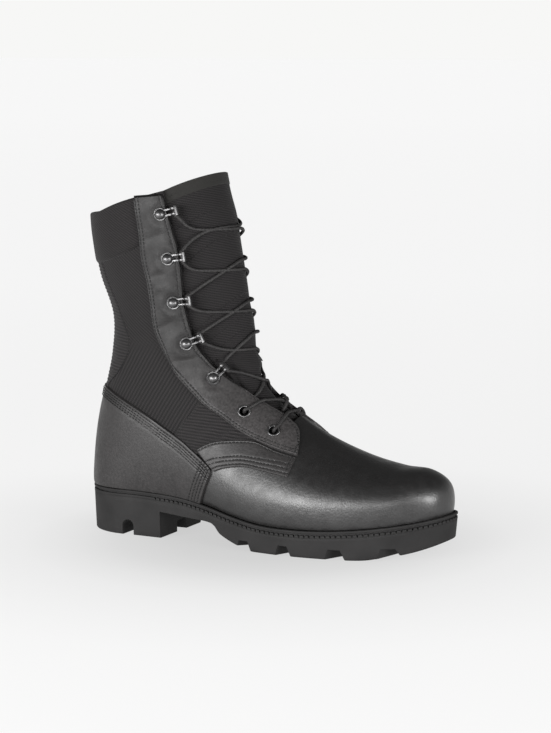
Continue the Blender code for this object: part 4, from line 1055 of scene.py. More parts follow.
EYESTAY_GRID = (190, 56)  # lines along it and places across it
EYESTAY_FRONT_ROWS, EYESTAY_REAR_ROWS, FLAP_ROWS = (3.2,), (1.7, 4.4), (2.6,)  # stitch rows, from each edge
EYESTAY_CORNER, FLAP_CORNER = 4.5, 5.0  # radii
EYESTAY_EASE = 6.0  # distance over which creases fade out at its edges
EYESTAY_WAVES = (0.16, 26.0, 5)  # amount, length, seed
RIVET_RING = (0.45, 9.5, 3.2)  # height, radius and width of the ring pressed up round a rivet
RIVET_DENT = (0.55, 6.0)  # depth and width of the dent under it
EYESTAY_CREASES = (  # start x, z, end x, z, depth, width
    (-70.0, 243.0, -88.0, 236.0, 0.5, 3.0), (-66.0, 214.0, -86.0, 206.0, 0.5, 2.6),
    (-64.0, 204.0, -82.0, 196.0, -0.4, 2.6), (-62.0, 175.0, -80.0, 166.0, 0.45, 2.6),
    (-46.0, 146.0, -66.0, 142.0, 0.45, 2.4), (-24.0, 124.0, -46.0, 124.0, 0.35, 2.2),
)


def make_eyestay(side):
    columns, across = EYESTAY_GRID
    row, turn = between(EYESTAY, columns, crowded(across))
    points = skin(row, turn, side, OVERLAY_TOP)
    from_front, from_rear = runs(points, 1)
    from_top, from_flap = runs(points, 0)
    corners = [rounded_corner(distance, from_top, EYESTAY_CORNER) for distance in (from_front, from_rear)]
    edge = np.minimum(np.minimum(*corners), rounded_corner(from_front, from_flap, FLAP_CORNER))
    height = raised(edge, OVERLAY_TOP)
    ease = np.clip(edge / EYESTAY_EASE, 0, 1)
    fade = ease**GROOVE_EASE
    for distance, rows in ((from_front, EYESTAY_FRONT_ROWS), (from_rear, EYESTAY_REAR_ROWS)):
        sew(height, (row, turn), distance, rows, [side], OVERLAY_TOP, FINE_GROOVE, fade)
    sew(height.T, (row.T, turn.T), from_flap.T, FLAP_ROWS, [side], OVERLAY_TOP, FINE_GROOVE, fade.T)
    height += ease * soft_waves(points, *EYESTAY_WAVES)
    for x, z, end_x, end_z, depth, width in EYESTAY_CREASES:
        height += ease * crease(points, (x, z), (end_x, end_z), depth, width)
    for place in places(RIVETS):
        away = np.linalg.norm(points - skin(*place, side, OVERLAY_TOP), axis=-1)
        ring_height, ring_radius, ring_width = RIVET_RING
        dent_depth, dent_width = RIVET_DENT
        pressed = ring_height * np.exp(-(((away - ring_radius) / ring_width) ** 2))
        height += ease * (pressed - dent_depth * np.exp(-((away / dent_width) ** 2)))
    name = SIDE_NAMES[side]
    nodes = ["eyestay_" + name]
    return overlay_piece("facing_" + name, row, turn, side, height, FACING_LEATHER, "leather", nodes)


BAND_TOP = OVERLAY_TOP - 0.35
BAND_GRID = (110, 52)
BAND_LOWER_ROWS, BAND_UPPER_ROWS, BAND_END_ROWS = (3.2, 7.2, 11.0), (2.0,), (3.0,)  # from each edge
BAND_END_GROOVE = (0.32, 0.45)
BAND_REAR_EDGE = 0.6  # how much of its thickness it keeps under the counter
BAND_EASE = 4.0
BAND_WAVES = (0.1, 24.0, 8)


def make_band(side):
    columns, across = BAND_GRID
    row, turn = between(QUARTER_BAND, columns, crowded(across))
    points = skin(row, turn, side, BAND_TOP)
    from_upper, from_lower = runs(points, 1)
    from_rear, from_flap = runs(points, 0)
    ends = np.minimum(from_rear + BAND_REAR_EDGE, from_flap)
    edge = np.minimum(np.minimum(from_upper, from_lower), ends)
    height = raised(edge, BAND_TOP)
    ease = np.clip(edge / BAND_EASE, 0, 1)
    fade = ease**GROOVE_EASE
    for distance, rows in ((from_lower, BAND_LOWER_ROWS), (from_upper, BAND_UPPER_ROWS)):
        sew(height, (row, turn), distance, rows, [side], BAND_TOP, DEEP_GROOVE, fade)
    sew(height.T, (row.T, turn.T), from_flap.T, BAND_END_ROWS, [side], BAND_TOP, BAND_END_GROOVE, fade.T)
    height += ease * soft_waves(points, *BAND_WAVES)
    name = SIDE_NAMES[side]
    overlay_piece("band_" + name, row, turn, side, height, LEATHER, "leather", ["quarter_band_" + name])


COUNTER_FINE, COUNTER_UP, COUNTER_CROWDING = 150, 78, 0.6
COUNTER_SOFT = 110  # passes that smooth away the sharp line in the upper under it
COUNTER_TOP_ROWS, COUNTER_FRONT_ROWS = (3.0, 5.0, 7.0, 9.0), (3.2, 6.0, 8.8, 11.6)
COUNTER_CORNER, COUNTER_EASE = 3.0, 3.0
COUNTER_FOOT_EDGE = 0.5  # how much of its thickness it keeps on the sole
COUNTER_WAVES = (0.14, 40.0, 3)
COUNTER_TOP = COUNTER_LAY + OVERLAY


def row_on_sole(x):
    """The section row whose low point on the sole is at x."""
    on_sole = SEARCH_ROWS <= HEEL_ROW
    return np.interp(-np.asarray(x), -SEARCH_NUMBERS[on_sole, 2], SEARCH_ROWS[on_sole])


def make_counter():
    """Leather round the heel: columns run from the front tip to the back, lines from the sole up."""
    shares = crowded(2 * COUNTER_FINE)[:COUNTER_FINE]
    shares = shares / shares[-1]
    edge = at_shares(places(along(COUNTER, SEAM_STEPS * len(COUNTER)))[::-1], shares)
    edge[-1, 1] = 1.0
    foot_rows = np.linspace(row_on_sole(COUNTER_FOOT), HEEL_ROW, SEAM_STEPS * len(COUNTER))
    foot = at_shares(np.stack([foot_rows, np.ones_like(foot_rows)], 1), shares)
    row, turn = ruled(edge, foot, crowded(COUNTER_UP, COUNTER_CROWDING))
    points = skin(row, turn, LATERAL, COUNTER_TOP)
    from_edge, from_foot = runs(points, 1)
    from_tip, _ = runs(points, 0)
    corner = rounded_corner(from_edge, from_tip, COUNTER_CORNER)
    rim = np.minimum(corner, from_foot + COUNTER_FOOT_EDGE)
    height = raised(rim, COUNTER_TOP)
    ease = np.clip(rim / COUNTER_EASE, 0, 1) ** GROOVE_EASE
    sew(height, (row, turn), from_edge, COUNTER_TOP_ROWS, SIDES, COUNTER_TOP, BOLD_GROOVE, ease)
    across = row.T, turn.T
    sew(height.T, across, from_tip.T, COUNTER_FRONT_ROWS, SIDES, COUNTER_TOP, DEEP_GROOVE, ease.T)
    height += ease * soft_waves(points, *COUNTER_WAVES)
    wrapped_piece("counter", *across, height.T, LEATHER, "leather", ["heel_counter"], COUNTER_SOFT)


CUFF_FINE, CUFF_UP = 90, 40
CUFF_HEIGHT, CUFF_ROLL, CUFF_TOP_ROLL = 2.3, 5.0, 2.0  # thickness, and radii of its lower and upper edge
CUFF_ABOVE = 0.04  # rows by which it covers the collar's edge
CUFF_FLAT = 1.9  # how much thinner it is where it runs under the eyestay
FLAT_FROM, FLAT_RUN = 6.0, 14.0  # this far from its front end it grows, over this length
CUFF_WAVES, CUFF_EASE = (0.2, 45.0, 2), 8.0
CUFF_UNDER = ((-85.0, 235.5), (-92.0, 271.5))  # x, z where its seam and its top end under the eyestay


def make_cuff():
    shares = np.linspace(0, 1, CUFF_FINE)
    seam_line = CUFF_SEAM[:-1] + CUFF_UNDER[:1]
    low = at_shares(places(along(seam_line, SEAM_STEPS * len(seam_line)))[::-1], shares)
    low[-1, 1] = 1.0
    top_turns = np.linspace(place_at(*CUFF_UNDER[1])[1], 1.0, CUFF_FINE)
    top_rows = dipped(np.full_like(top_turns, COLLAR_ROW + CUFF_ABOVE), top_turns)
    top = at_shares(np.stack([top_rows, top_turns], 1), shares)
    row, turn = ruled(low, top, crowded(CUFF_UP))
    points = skin(row, turn, LATERAL, CUFF_HEIGHT)
    from_low, from_top = runs(points, 1)
    lower, upper = raised(from_low, CUFF_HEIGHT, CUFF_ROLL), raised(from_top, CUFF_HEIGHT, CUFF_TOP_ROLL)
    from_front, _ = runs(points, 0)
    flat = CUFF_FLAT * (1 - np.clip((from_front - FLAT_FROM) / FLAT_RUN, 0, 1)) ** 2
    height = np.maximum(np.minimum(lower, upper) - flat, OVERLAY_ROOT + EDGE_FOOT)
    height += np.clip(from_low / CUFF_EASE, 0, 1) * soft_waves(points, *CUFF_WAVES)
    wrapped_piece("collar_cuff", row.T, turn.T, height.T, CUFF_CLOTH, "nylon", ["cuff"])


BACKSTAY_FINE, BACKSTAY_ROUND = 150, 30
BACKSTAY_HEIGHT = 0.9
BACKSTAY_ENDS = ((-131.0, 114.5), (-133.5, 218.0))  # x, z where its edge ends under the counter and the cuff
RIB_PITCH = 2.9
BACK_RIB, BACK_RIB_FROM, BACK_RIB_RUN = 0.22, 2.5, 2.0  # ribs' height, and where they grow behind its edge
BACK_ROW, PATCH_ROW = 1.8, 1.6  # stitch rows from the edges of the webbing and of the patch


def make_backstay():
    line = BACKSTAY_ENDS[:1] + BACKSTAY_EDGE + BACKSTAY_ENDS[1:]
    edge = at_shares(places(along(line, SEAM_STEPS * len(line))), np.linspace(0, 1, BACKSTAY_FINE))
    back_rows = np.linspace(place_at(*COUNTER[0])[0], place_at(*CUFF_SEAM[0])[0], BACKSTAY_FINE)
    back = np.stack([back_rows, np.ones_like(back_rows)], 1)
    row, turn = ruled(edge, back, np.linspace(0, 1, BACKSTAY_ROUND))
    points = skin(row, turn, LATERAL, BACKSTAY_HEIGHT)
    from_edge, _ = runs(points, 1)
    ribs = BACK_RIB * np.sin(2 * math.pi * points[..., 2] / RIB_PITCH)
    height = raised(from_edge, BACKSTAY_HEIGHT)
    height += ribs * np.clip((from_edge - BACK_RIB_FROM) / BACK_RIB_RUN, 0, 1)
    for side in SIDES:
        add_seam(row, turn, from_edge, BACK_ROW, side, BACKSTAY_HEIGHT)
    wrapped_piece("back_webbing", row, turn, height, WEBBING_CLOTH, "webbing", ["backstay"])


ANKLE_PATCH = (  # x, z upper edge along the eyestay, x, z lower edge along the band
    (-42.6, 111.5, -63.5, 85.0), (-30.0, 104.5, -44.0, 72.0), (-12.0, 94.5, -26.0, 80.5),
    (5.5, 86.5, 4.5, 82.5),
)
PATCH_GRID = (60, 40)
PATCH_HEIGHT = 0.8
PATCH_RIB, PATCH_LEAN = 0.16, 0.25  # its ribs' height, and how far they rise towards the heel


def make_ankle_patch(side):
    """The small ribbed triangle between the eyestay and the band."""
    columns, across = PATCH_GRID
    row, turn = between(ANKLE_PATCH, columns, np.linspace(0, 1, across))
    points = skin(row, turn, side, PATCH_HEIGHT)
    from_rear, _ = runs(points, 0)
    height = raised(from_rear, PATCH_HEIGHT)
    height += PATCH_RIB * np.sin(2 * math.pi * (points[..., 2] + PATCH_LEAN * points[..., 0]) / RIB_PITCH)
    add_seam(row.T, turn.T, from_rear.T, PATCH_ROW, side, PATCH_HEIGHT)
    name = "ankle_patch_" + SIDE_NAMES[side]
    overlay_piece(name, row, turn, side, height, WEBBING_CLOTH, "webbing", ["upper"], points[..., [0, 2]])


# Place along a thread, from -1 to 1, and width there
STITCH_PROFILE = ((-1.0, 0.1), (-0.82, 0.75), (-0.4, 1.0), (0.4, 1.0), (0.82, 0.75), (1.0, 0.1))
STITCH_SIDES, STITCH_PROBE = 6, 0.5


def make_stitches():
    """Every kept line as a row of short threads sunk into the surface."""
    angle = np.arange(STITCH_SIDES) * 2 * math.pi / STITCH_SIDES
    ring = np.stack([np.ones_like(angle), np.cos(angle), np.sin(angle)], 1)
    rings = np.array([ring * (share, width, width) for share, width in STITCH_PROFILE])
    shape, faces = tube(rings * (STITCH_LENGTH / 2, STITCH_RADIUS, STITCH_RADIUS))
    threads = []
    for line, normals in SEAMS:
        run = run_along(line)
        at = np.arange(STITCH_PITCH / 2, run[-1], STITCH_PITCH)
        tangent = read_at(at + STITCH_PROBE, run, line) - read_at(at - STITCH_PROBE, run, line)
        for centre, normal, ahead in zip(read_at(at, run, line), read_at(at, run, normals), tangent):
            normal = normal / np.linalg.norm(normal)
            ahead = ahead - ahead.dot(normal) * normal
            ahead /= np.linalg.norm(ahead)
            turn = np.stack([ahead, np.cross(normal, ahead), normal])
            threads.append((centre + shape @ turn, faces))
    add_piece("stitching", *joined(threads), THREAD, "leather", sharp=math.pi)


# Tongue

TONGUE_TUCK = 0.06  # how far the tongue runs on under the eyestays, as a turn
TONGUE_FOOT_ROW = THROAT_ROW - 0.4
TONGUE_TOP_ROWS = (LAST_ROW - 0.42, LAST_ROW - 0.06)  # at its sides and at its middle
TONGUE_BULGE = 5.5  # how far its middle stands out, above the bend
BULGE_ROWS = (8.0, 10.5)  # the bulge grows between these rows
BULGE_SHARE = 0.8  # share of the way to the tongue's sides where it ends


def tongue_bulge(row, across):
    """How far the tongue stands out; across runs from -1 to 1 between its sides."""
    grown = np.clip((row - BULGE_ROWS[0]) / (BULGE_ROWS[1] - BULGE_ROWS[0]), 0, 1)
    return TONGUE_BULGE * grown * np.maximum(1 - (across / BULGE_SHARE) ** 2, 0)


TONGUE_HIGH = -WALL - TONGUE_GAP
TONGUE_FINE, TONGUE_ACROSS = 190, 72
TONGUE_WAVE, WAVES_UP, WAVES_ACROSS = 0.35, 2.2, 2.0  # height, turns per row and across
WAVES_FROM, WAVES_GROW = 6.0, 2.0  # the waves grow from this row, over these rows
BINDING_FINE, BINDING_ROWS, BINDING_THICK, BINDING_TAPE = 41, 0.52, 0.5, 0.7
BINDING_ABOVE = 0.03  # rows by which it covers the tongue's edge
BINDING_LOW = 0.05  # rows by which its inside lies lower
BINDING_POWER, BINDING_ROLL = 1.5, 1 / 6
TONGUE_SHORT = 0.02  # rows by which the tongue ends below its tape
TONGUE_PLEATS = (  # start x, z, end x, z, depth, width, from the bend down along the eyestays
    (-36.0, 150.0, -20.0, 118.0, 3.0, 1.8), (-28.0, 146.0, -12.0, 116.0, 2.6, 1.6),
)
TONGUE_SWELL = (3.4, 139.5, 7.0)  # how far the fold above the last loop swells, its height and half width


def tongue_top(across):
    side_top, middle_top = TONGUE_TOP_ROWS
    return side_top + (middle_top - side_top) * (1 - across**2)


def tongue_points(row, across, offset):
    turn = (throat_turn(row) + TONGUE_TUCK) * np.abs(across)
    offset = offset + tongue_bulge(row, across)
    lateral, medial = skin(row, turn, LATERAL, offset), skin(row, turn, MEDIAL, offset)
    return np.where((across < 0)[..., None], lateral, medial)


def tongue_folds(row, across):
    """Soft unevenness, the fold above the last loop and the pleats low in the throat."""
    waves = TONGUE_WAVE * np.sin(WAVES_UP * row + WAVES_ACROSS * across) - TONGUE_WAVE
    folds = waves * np.clip((row - WAVES_FROM) / WAVES_GROW, 0, 1)
    points = tongue_points(row, across, TONGUE_HIGH)
    swell, middle, width = TONGUE_SWELL
    folds = folds + swell * np.exp(-(((points[..., 2] - middle) / width) ** 2)) * (1 - across**2)
    for x, z, end_x, end_z, depth, width in TONGUE_PLEATS:
        folds = folds + crease(points, (x, z), (end_x, end_z), depth, width)
    return folds


def make_tongue():
    across = np.linspace(-1, 1, TONGUE_ACROSS)[None, :]
    share = np.linspace(0, 1, TONGUE_FINE)[:, None]
    row = TONGUE_FOOT_ROW + (tongue_top(across) - TONGUE_SHORT - TONGUE_FOOT_ROW) * share
    across = np.repeat(across, TONGUE_FINE, 0)
    high = TONGUE_HIGH + tongue_folds(row, across)
    outer, inner = (tongue_points(row, across, offset) for offset in (high, high - TONGUE))
    sheet_piece("tongue_cloth", outer, inner, TONGUE_CLOTH, "nylon", ["tongue"])


def make_binding():
    """The plain tape folded over the tongue's top edge."""
    folded = np.linspace(-1, 1, BINDING_FINE)[:, None]
    across = np.repeat(np.linspace(-1, 1, TONGUE_ACROSS)[None, :], len(folded), 0)
    row = tongue_top(across) + BINDING_ABOVE - BINDING_ROWS * np.abs(folded) ** BINDING_POWER
    middle = TONGUE_HIGH - TONGUE / 2 + tongue_folds(row, across)
    reach = (TONGUE / 2 + BINDING_THICK) * rolled(np.abs(folded), BINDING_ROLL)
    inner_reach = np.maximum(reach - BINDING_TAPE, 0.0)
    outer = tongue_points(row, across, middle - np.sign(folded) * reach)
    inner = tongue_points(row - BINDING_LOW, across, middle - np.sign(folded) * inner_reach)
    sheet_piece("tongue_binding", outer, inner, BINDING_CLOTH, "nylon", ["tongue"])


# Fittings


FRAME_STEPS = 400  # places of the throat's edge among which the nearest is looked for
BAR_CORNERS, BAR_POWER = 16, 0.5  # points round a flat bar, and how square it is


def fitting_frame(place, side):
    """A frame on the eyestay: Z outwards, X towards the nearest place of the throat's edge."""
    rows = np.linspace(THROAT_EDGE[0, 0], THROAT_EDGE[-1, 0], FRAME_STEPS)
    edge = skin(rows, throat_turn(rows), side, LAY)
    nearest = edge[np.linalg.norm(edge - skin(*place, side, LAY), axis=1).argmin()]
    origin = Vector(skin(*place, side, OVERLAY_TOP))
    z_axis = Vector(outward(*place, side))
    x_axis = Vector(nearest) - origin
    x_axis = (x_axis - x_axis.dot(z_axis) * z_axis).normalized()
    where = Matrix((x_axis, z_axis.cross(x_axis), z_axis)).transposed().to_4x4()
    where.translation = origin
    return where


def placed(points, where):
    return np.asarray(points) @ np.array(where.to_3x3()).T + np.array(where.translation)


def turned(profile, segments):
    """Points and faces turned round Z from radius and height pairs; the profile is closed."""
    profile = np.array([*profile, profile[0]], float)
    angle = np.linspace(0, 2 * math.pi, segments + 1)
    radius, height = profile[:, :1], np.repeat(profile[:, 1:], segments + 1, 1)
    points = np.stack([radius * np.cos(angle), radius * np.sin(angle), height], -1)
    first, faces = welded(points, grid_quads(points.shape[:2]))
    return points.reshape(-1, 3)[first], faces


def swept_bar(path, width, thickness, y):
    """A flat bar with soft edges that follows a path of x and z, its broad side along Y."""
    path = np.asarray(path, float)
    tangent = np.gradient(path, axis=0)
    tangent /= np.linalg.norm(tangent, axis=1)[:, None]
    normal = np.stack([-tangent[:, 1], tangent[:, 0]], 1)
    angle = np.arange(BAR_CORNERS) * 2 * math.pi / BAR_CORNERS
    waves = np.cos(angle), np.sin(angle)
    across, up = (np.sign(wave) * np.abs(wave) ** BAR_POWER / 2 for wave in waves)
    lifted = path[:, None] + normal[:, None] * (up * thickness)[None, :, None]
    beside = np.broadcast_to(y + across * width, lifted.shape[:2])
    return tube(np.stack([lifted[..., 0], beside, lifted[..., 1]], -1))


BALL_WIDE, BALL_HIGH, BALL_FOOT = 4.15, 5.6, -0.4  # radius, top and foot of the ball
BALL_FROM, BALL_STEPS, ROUND = -0.35, 22, 40  # angle where the ball begins, steps up and round it
FLANGE = ((0.0, -0.3), (5.35, -0.3), (5.35, 0.35), (5.0, 0.85), (4.4, 0.7), (0.0, 0.7))  # radius, height
ARM_WIDTH, ARM_THICK, ARM_PLACE = 1.8, 1.0, 2.15
EYE_RADIUS, EYE_CENTRE = 2.35, (12.0, 1.7)
ARM_START = ((2.5, 0.5), (4.5, 0.5), (6.5, 0.4), (8.8, 0.0))
ARM_END = ((9.0, 1.3), (7.4, 1.25), (4.5, 1.3))
EYE_TURNS, TIP_TURNS = (-120, 200, 33), (-60, 75, 13)  # first angle, last angle, points
TIP_WIDTH, TIP_THICK, TIP_OUT = 8.0, 0.9, 0.15  # and how far it lies outside the eyes


def on_eye(angles, radius):
    """Points round the eye's centre at angles in degrees."""
    angles = np.radians(angles)
    return np.array(EYE_CENTRE) + radius * np.stack([np.cos(angles), np.sin(angles)], 1)


def hook_shape():
    """Ball on a flange, and two arms that end in eyes for the lace, joined by a broad tip."""
    turns = np.linspace(BALL_FROM, math.pi / 2, BALL_STEPS)
    middle = BALL_HIGH - BALL_WIDE
    dome = [(BALL_WIDE * math.cos(t), middle + BALL_WIDE * math.sin(t)) for t in turns]
    foot = [(0.0, BALL_FOOT), (dome[0][0], BALL_FOOT)]
    ball = turned([*foot, *dome[:-1], (0.0, BALL_HIGH)], ROUND)
    path = [*ARM_START, *on_eye(np.linspace(*EYE_TURNS), EYE_RADIUS), *ARM_END]
    arms = [swept_bar(path, ARM_WIDTH, ARM_THICK, y) for y in (-ARM_PLACE, ARM_PLACE)]
    tip_path = on_eye(np.linspace(*TIP_TURNS), EYE_RADIUS + TIP_OUT)
    tip = swept_bar(tip_path, TIP_WIDTH, TIP_THICK, 0.0)
    return joined([ball, turned(FLANGE, ROUND), *arms, tip])


def make_hooks():
    points, faces = hook_shape()
    for side in SIDES:
        for number, at in enumerate(RIVETS):
            node = f"hook_{SIDE_NAMES[side]}_{number + 1}"
            where = fitting_frame(place_at(*at), side)
            add_piece("speed_" + node, placed(points, where), faces, METAL, "black_metal", [node])


RING_OUTER, RING_BORE, RING_BARREL = 5.2, 3.5, 4.0  # radii
RING_LIFT, RING_HALF = 0.25, 0.85  # height of the ring's middle and half its thickness
RING_TURNS = (-0.2 * math.pi, 1.15 * math.pi, 16)  # the ring's round from the outside to the bore
RING_ROUND, HOLE_ROUND = 48, 32
RING_UNDER = -0.4  # height where the barrel meets the ring
HOLE_PLAY, HOLE_ENDS = 0.1, (-9.0, 6.0)  # room round the barrel, and the heights the hole is cut between


def make_eyelets(cut_pieces):
    angles = np.linspace(*RING_TURNS)
    middle, half = (RING_OUTER + RING_BORE) / 2, (RING_OUTER - RING_BORE) / 2
    ring = [(middle + half * math.cos(a), RING_LIFT + RING_HALF * math.sin(a)) for a in angles]
    depth = WALL + OVERLAY_TOP
    barrel = [(RING_BORE, -depth), (RING_BARREL, -depth), (RING_BARREL, RING_UNDER)]
    points, faces = turned(ring + barrel, RING_ROUND)
    wide, (low, high) = RING_BARREL + HOLE_PLAY, HOLE_ENDS
    hole = turned([(0, low), (wide, low), (wide, high), (0, high)], HOLE_ROUND)
    frames = []
    for side in SIDES:
        for number, at in enumerate(EYELETS):
            node = f"eyelet_{SIDE_NAMES[side]}_{number + 1}"
            frames.append(fitting_frame(place_at(*at), side))
            add_piece("ring_" + node, placed(points, frames[-1]), faces, METAL, "black_metal", [node])
    for piece in cut_pieces:
        cut_now(piece, [add_object("eyelet_hole", placed(hole[0], where), hole[1]) for where in frames])


# Lace

LACE_RADIUS, LACE_CLEAR = 1.3, 0.15
LACE_LIFT = TONGUE_HIGH + LACE_RADIUS + LACE_CLEAR
LACE_STEP, LACE_SIDES = 0.4, 14
LACE_FINE, LACE_PASSES = 24, 60  # steps per point, smoothing passes
LACE_NEAR = 0.2  # points closer together than this are dropped
BRAID_PITCH, BRAID_DEPTH = 3.4, 0.16
CROSSINGS = (  # from the top: heights at the tongue's middle of the strands to and from the outer loop, bends
    (245.6, 247.3, 13.0, 3.3), (213.8, 221.1, 13.0, 1.4), (181.6, 188.9, 13.0, 1.4),
    (151.5, 164.2, 10.0, 1.4), (126.6, 128.3, 1.5, 1.0),
)
INNER_BENDS = (1.3, 2.0)  # the same strands' bends on the inner side
BAR = (  # row, turn, height of the bar across the lowest eyelets, from its middle
    (5.97, 0.0, 0.0), (5.97, 0.04, 1.3), (6.0, 0.08, 2.8), (6.01, 0.10, 3.5), (6.0, 0.13, 3.6),
    (6.0, 0.16, 3.5), (6.0, 0.185, 3.0),
)
BENEATH_LOW = ((6.13, 0.15, -4.0), (6.18, 0.11, -3.4), (6.20, 0.085, -2.2), (6.24, 0.05, 0.2))
TO_UPPER = (  # row, turn, height from the lowest crossing to the upper eyelet
    (6.36, 0.0, 1.0), (6.51, 0.04, 1.0), (6.64, 0.08, 1.2), (6.77, 0.12, 2.2), (6.87, 0.145, 3.4),
    (6.95, 0.17, 3.6), (7.03, 0.20, 3.5), (7.09, 0.22, 3.1),
)
BENEATH_HIGH = ((7.25, 0.20, -4.0), (7.32, 0.17, -3.6))
EYELET_DIP = -1.7  # how far the lace dips under the eyestay's edge on its way from an eyelet
LOW_CROSS_LIFT = 2.6  # how much higher the outer half of the lace lies at the lowest crossing
IN_LOOP = (-3.8, -2.0, 0.0, 2.0, 3.8)  # places of the lace across a loop
IN_EYELET = ((1.3, 0.0, 1.1), (0.2, 0.0, -0.8), (0.0, 0.0, -3.6), (1.0, 0.0, -5.6))
STRAND_STEPS, STRAND_END = 41, 0.985  # points of a crossing, and the share where it meets the loops
OVER_APART, OVER_FADE = 2.1, 2.2  # radii between crossing strands, and how fast the upper one sinks again
RISE_POWER = 8  # how late a strand rises to its loop
LINE_STEPS, NEAR_STEPS = 300, 400  # rows read over the tongue, and beside it
NEAR_SHARES = np.linspace(0.5, 1.3, 161)


def on_skin(rows, side, lift=0.0):
    return [skin(row, turn, side, height + lift) for row, turn, height in rows]


def loop_ends(number, side):
    """Where the lace enters a loop from below, runs through it and leaves it above."""
    where = fitting_frame(place_at(*RIVETS[number]), side)
    reach, high = EYE_CENTRE
    points = placed([(reach, y, high) for y in IN_LOOP], where)
    return points if points[0, 2] < points[-1, 2] else points[::-1]


def through_eyelet(number, side):
    """The lace's way down through an eyelet."""
    where = fitting_frame(place_at(*EYELETS[number]), side)
    return list(placed(IN_EYELET, where))


def over_tongue(share, z, lift, side):
    """A point over the tongue at a share of the way to this side's throat edge."""
    rows = np.linspace(THROAT_ROW, LAST_ROW, LINE_STEPS)
    edge = throat_turn(rows)
    high = LACE_LIFT + lift + tongue_bulge(rows, share * edge / (edge + TONGUE_TUCK))
    line = skin(rows, share * edge, side, high)
    return read_at(np.array([z]), line[:, 2], line)[0]


def beside_tongue(point, side):
    """A point's share of the way from the tongue's middle to the throat's edge, and its lift."""
    rows = np.linspace(THROAT_ROW, LAST_ROW, NEAR_STEPS)[:, None]
    edge = throat_turn(rows)
    high = LACE_LIFT + tongue_bulge(rows, NEAR_SHARES * edge / (edge + TONGUE_TUCK))
    away = np.linalg.norm(skin(rows, NEAR_SHARES * edge, side, high) - point, axis=-1)
    return NEAR_SHARES[away.min(0).argmin()], away.min()


def crossing(number, here, start, end):
    """Points of a strand over the tongue, from a fitting on one side up to the next on the other."""
    first_z, second_z, first_bend, second_bend = CROSSINGS[number]
    to_outer = here == MEDIAL
    middle = first_z if to_outer else second_z
    apart = abs(second_z - first_z)
    inner_bend = INNER_BENDS[0 if to_outer else 1]
    outer_bend = first_bend if to_outer else second_bend
    bends = (inner_bend, outer_bend) if to_outer else (outer_bend, inner_bend)
    sides = ((here, start, bends[0]), (-here, end, bends[1]))
    ends = [(side, point[2], bend, *beside_tongue(point, side)) for side, point, bend in sides]
    if number == len(CROSSINGS) - 1:
        ends[0] = (*ends[0][:3], 1.0, EYELET_DIP)
    points = []
    for share in np.linspace(-STRAND_END, STRAND_END, STRAND_STEPS):
        side, far_z, bend, reach, far_lift = ends[0 if share < 0 else 1]
        away = abs(share)
        z = middle + (far_z - middle) * away**bend
        over = math.sqrt(max(0.0, (OVER_APART * LACE_RADIUS) ** 2 - apart**2)) if to_outer else 0.0
        lift = over * max(0.0, 1 - OVER_FADE * away) + far_lift * away**RISE_POWER
        points.append(over_tongue(away * reach, z, lift, side))
    return points


def strand_points(side):
    """One half of the lace, from the middle of the lowest bar up to a top loop."""
    lift = LOW_CROSS_LIFT if side == LATERAL else 0.0
    points = on_skin(BAR, side) + through_eyelet(1, side) + on_skin(BENEATH_LOW, side, lift / 3)
    points += on_skin(TO_UPPER[:1], -side, lift) + on_skin(TO_UPPER[1:3], -side, lift / 2)
    points += on_skin(TO_UPPER[3:], -side) + through_eyelet(0, -side) + on_skin(BENEATH_HIGH, -side)
    here, start = -side, points[-1]
    for fitting in reversed(range(len(RIVETS))):
        loop = loop_ends(fitting, -here)
        points += crossing(fitting, here, start, loop[0]) + list(loop)
        here, start = -here, loop[-1]
    return np.array(points[:-2])


def smooth_line(points, step):
    """The smooth curve through the points at even distances."""
    gaps = np.linalg.norm(np.diff(points, axis=0), axis=1)
    fine = along(points[np.insert(gaps > LACE_NEAR, 0, True)], LACE_FINE * len(points))
    for _ in range(LACE_PASSES):
        fine[1:-1] = fine[1:-1] * 0.5 + (fine[:-2] + fine[2:]) * 0.25
    run = run_along(fine)
    at = np.linspace(0, run[-1], int(run[-1] / step))
    return read_at(at, run, fine), at


def make_lace():
    """Both halves of the lace, with the braid's crossing threads raised on them."""
    for name, side in (("lace_a", LATERAL), ("lace_b", MEDIAL)):
        line, at = smooth_line(strand_points(side), LACE_STEP)
        tangent = np.gradient(line, axis=0)
        tangent /= np.linalg.norm(tangent, axis=1)[:, None]
        beside = np.zeros_like(tangent)
        reference = np.array([0.0, 0.0, 1.0])
        for k, direction in enumerate(tangent):
            reference = reference - reference.dot(direction) * direction
            reference /= np.linalg.norm(reference)
            beside[k] = reference
        over = np.cross(tangent, beside)
        angle = np.arange(LACE_SIDES) * 2 * math.pi / LACE_SIDES
        turn = 2 * math.pi * at[:, None] / BRAID_PITCH
        braid = np.abs(np.sin(2 * angle + turn)) * np.abs(np.sin(2 * angle - turn))
        radius = (LACE_RADIUS - BRAID_DEPTH + 2 * BRAID_DEPTH * braid)[..., None]
        spokes = np.cos(angle)[None, :, None] * beside[:, None] + np.sin(angle)[None, :, None] * over[:, None]
        crosses = [f"lace_cross_{k + 1}" for k in range(len(RIVETS) + len(EYELETS) - 1)]
        add_piece(name, *tube(line[:, None] + radius * spokes), LACE_CORD, "lace", crosses, sharp=math.pi)


# Stage

CAMERA_AZIMUTH, CAMERA_ELEVATION = 26.0, 7.9
CAMERA_DISTANCE, CAMERA_LENS, SENSOR = 1.850, 115.96, 36.0
CAMERA_TARGET = (0.005, 0.0, 0.138)


def direction(azimuth, elevation):
    """Unit vector from the boot towards a place round it; azimuth 0 is at -Y and 90 at +X."""
    a, e = math.radians(azimuth), math.radians(elevation)
    return Vector((math.sin(a) * math.cos(e), -math.cos(a) * math.cos(e), math.sin(e)))


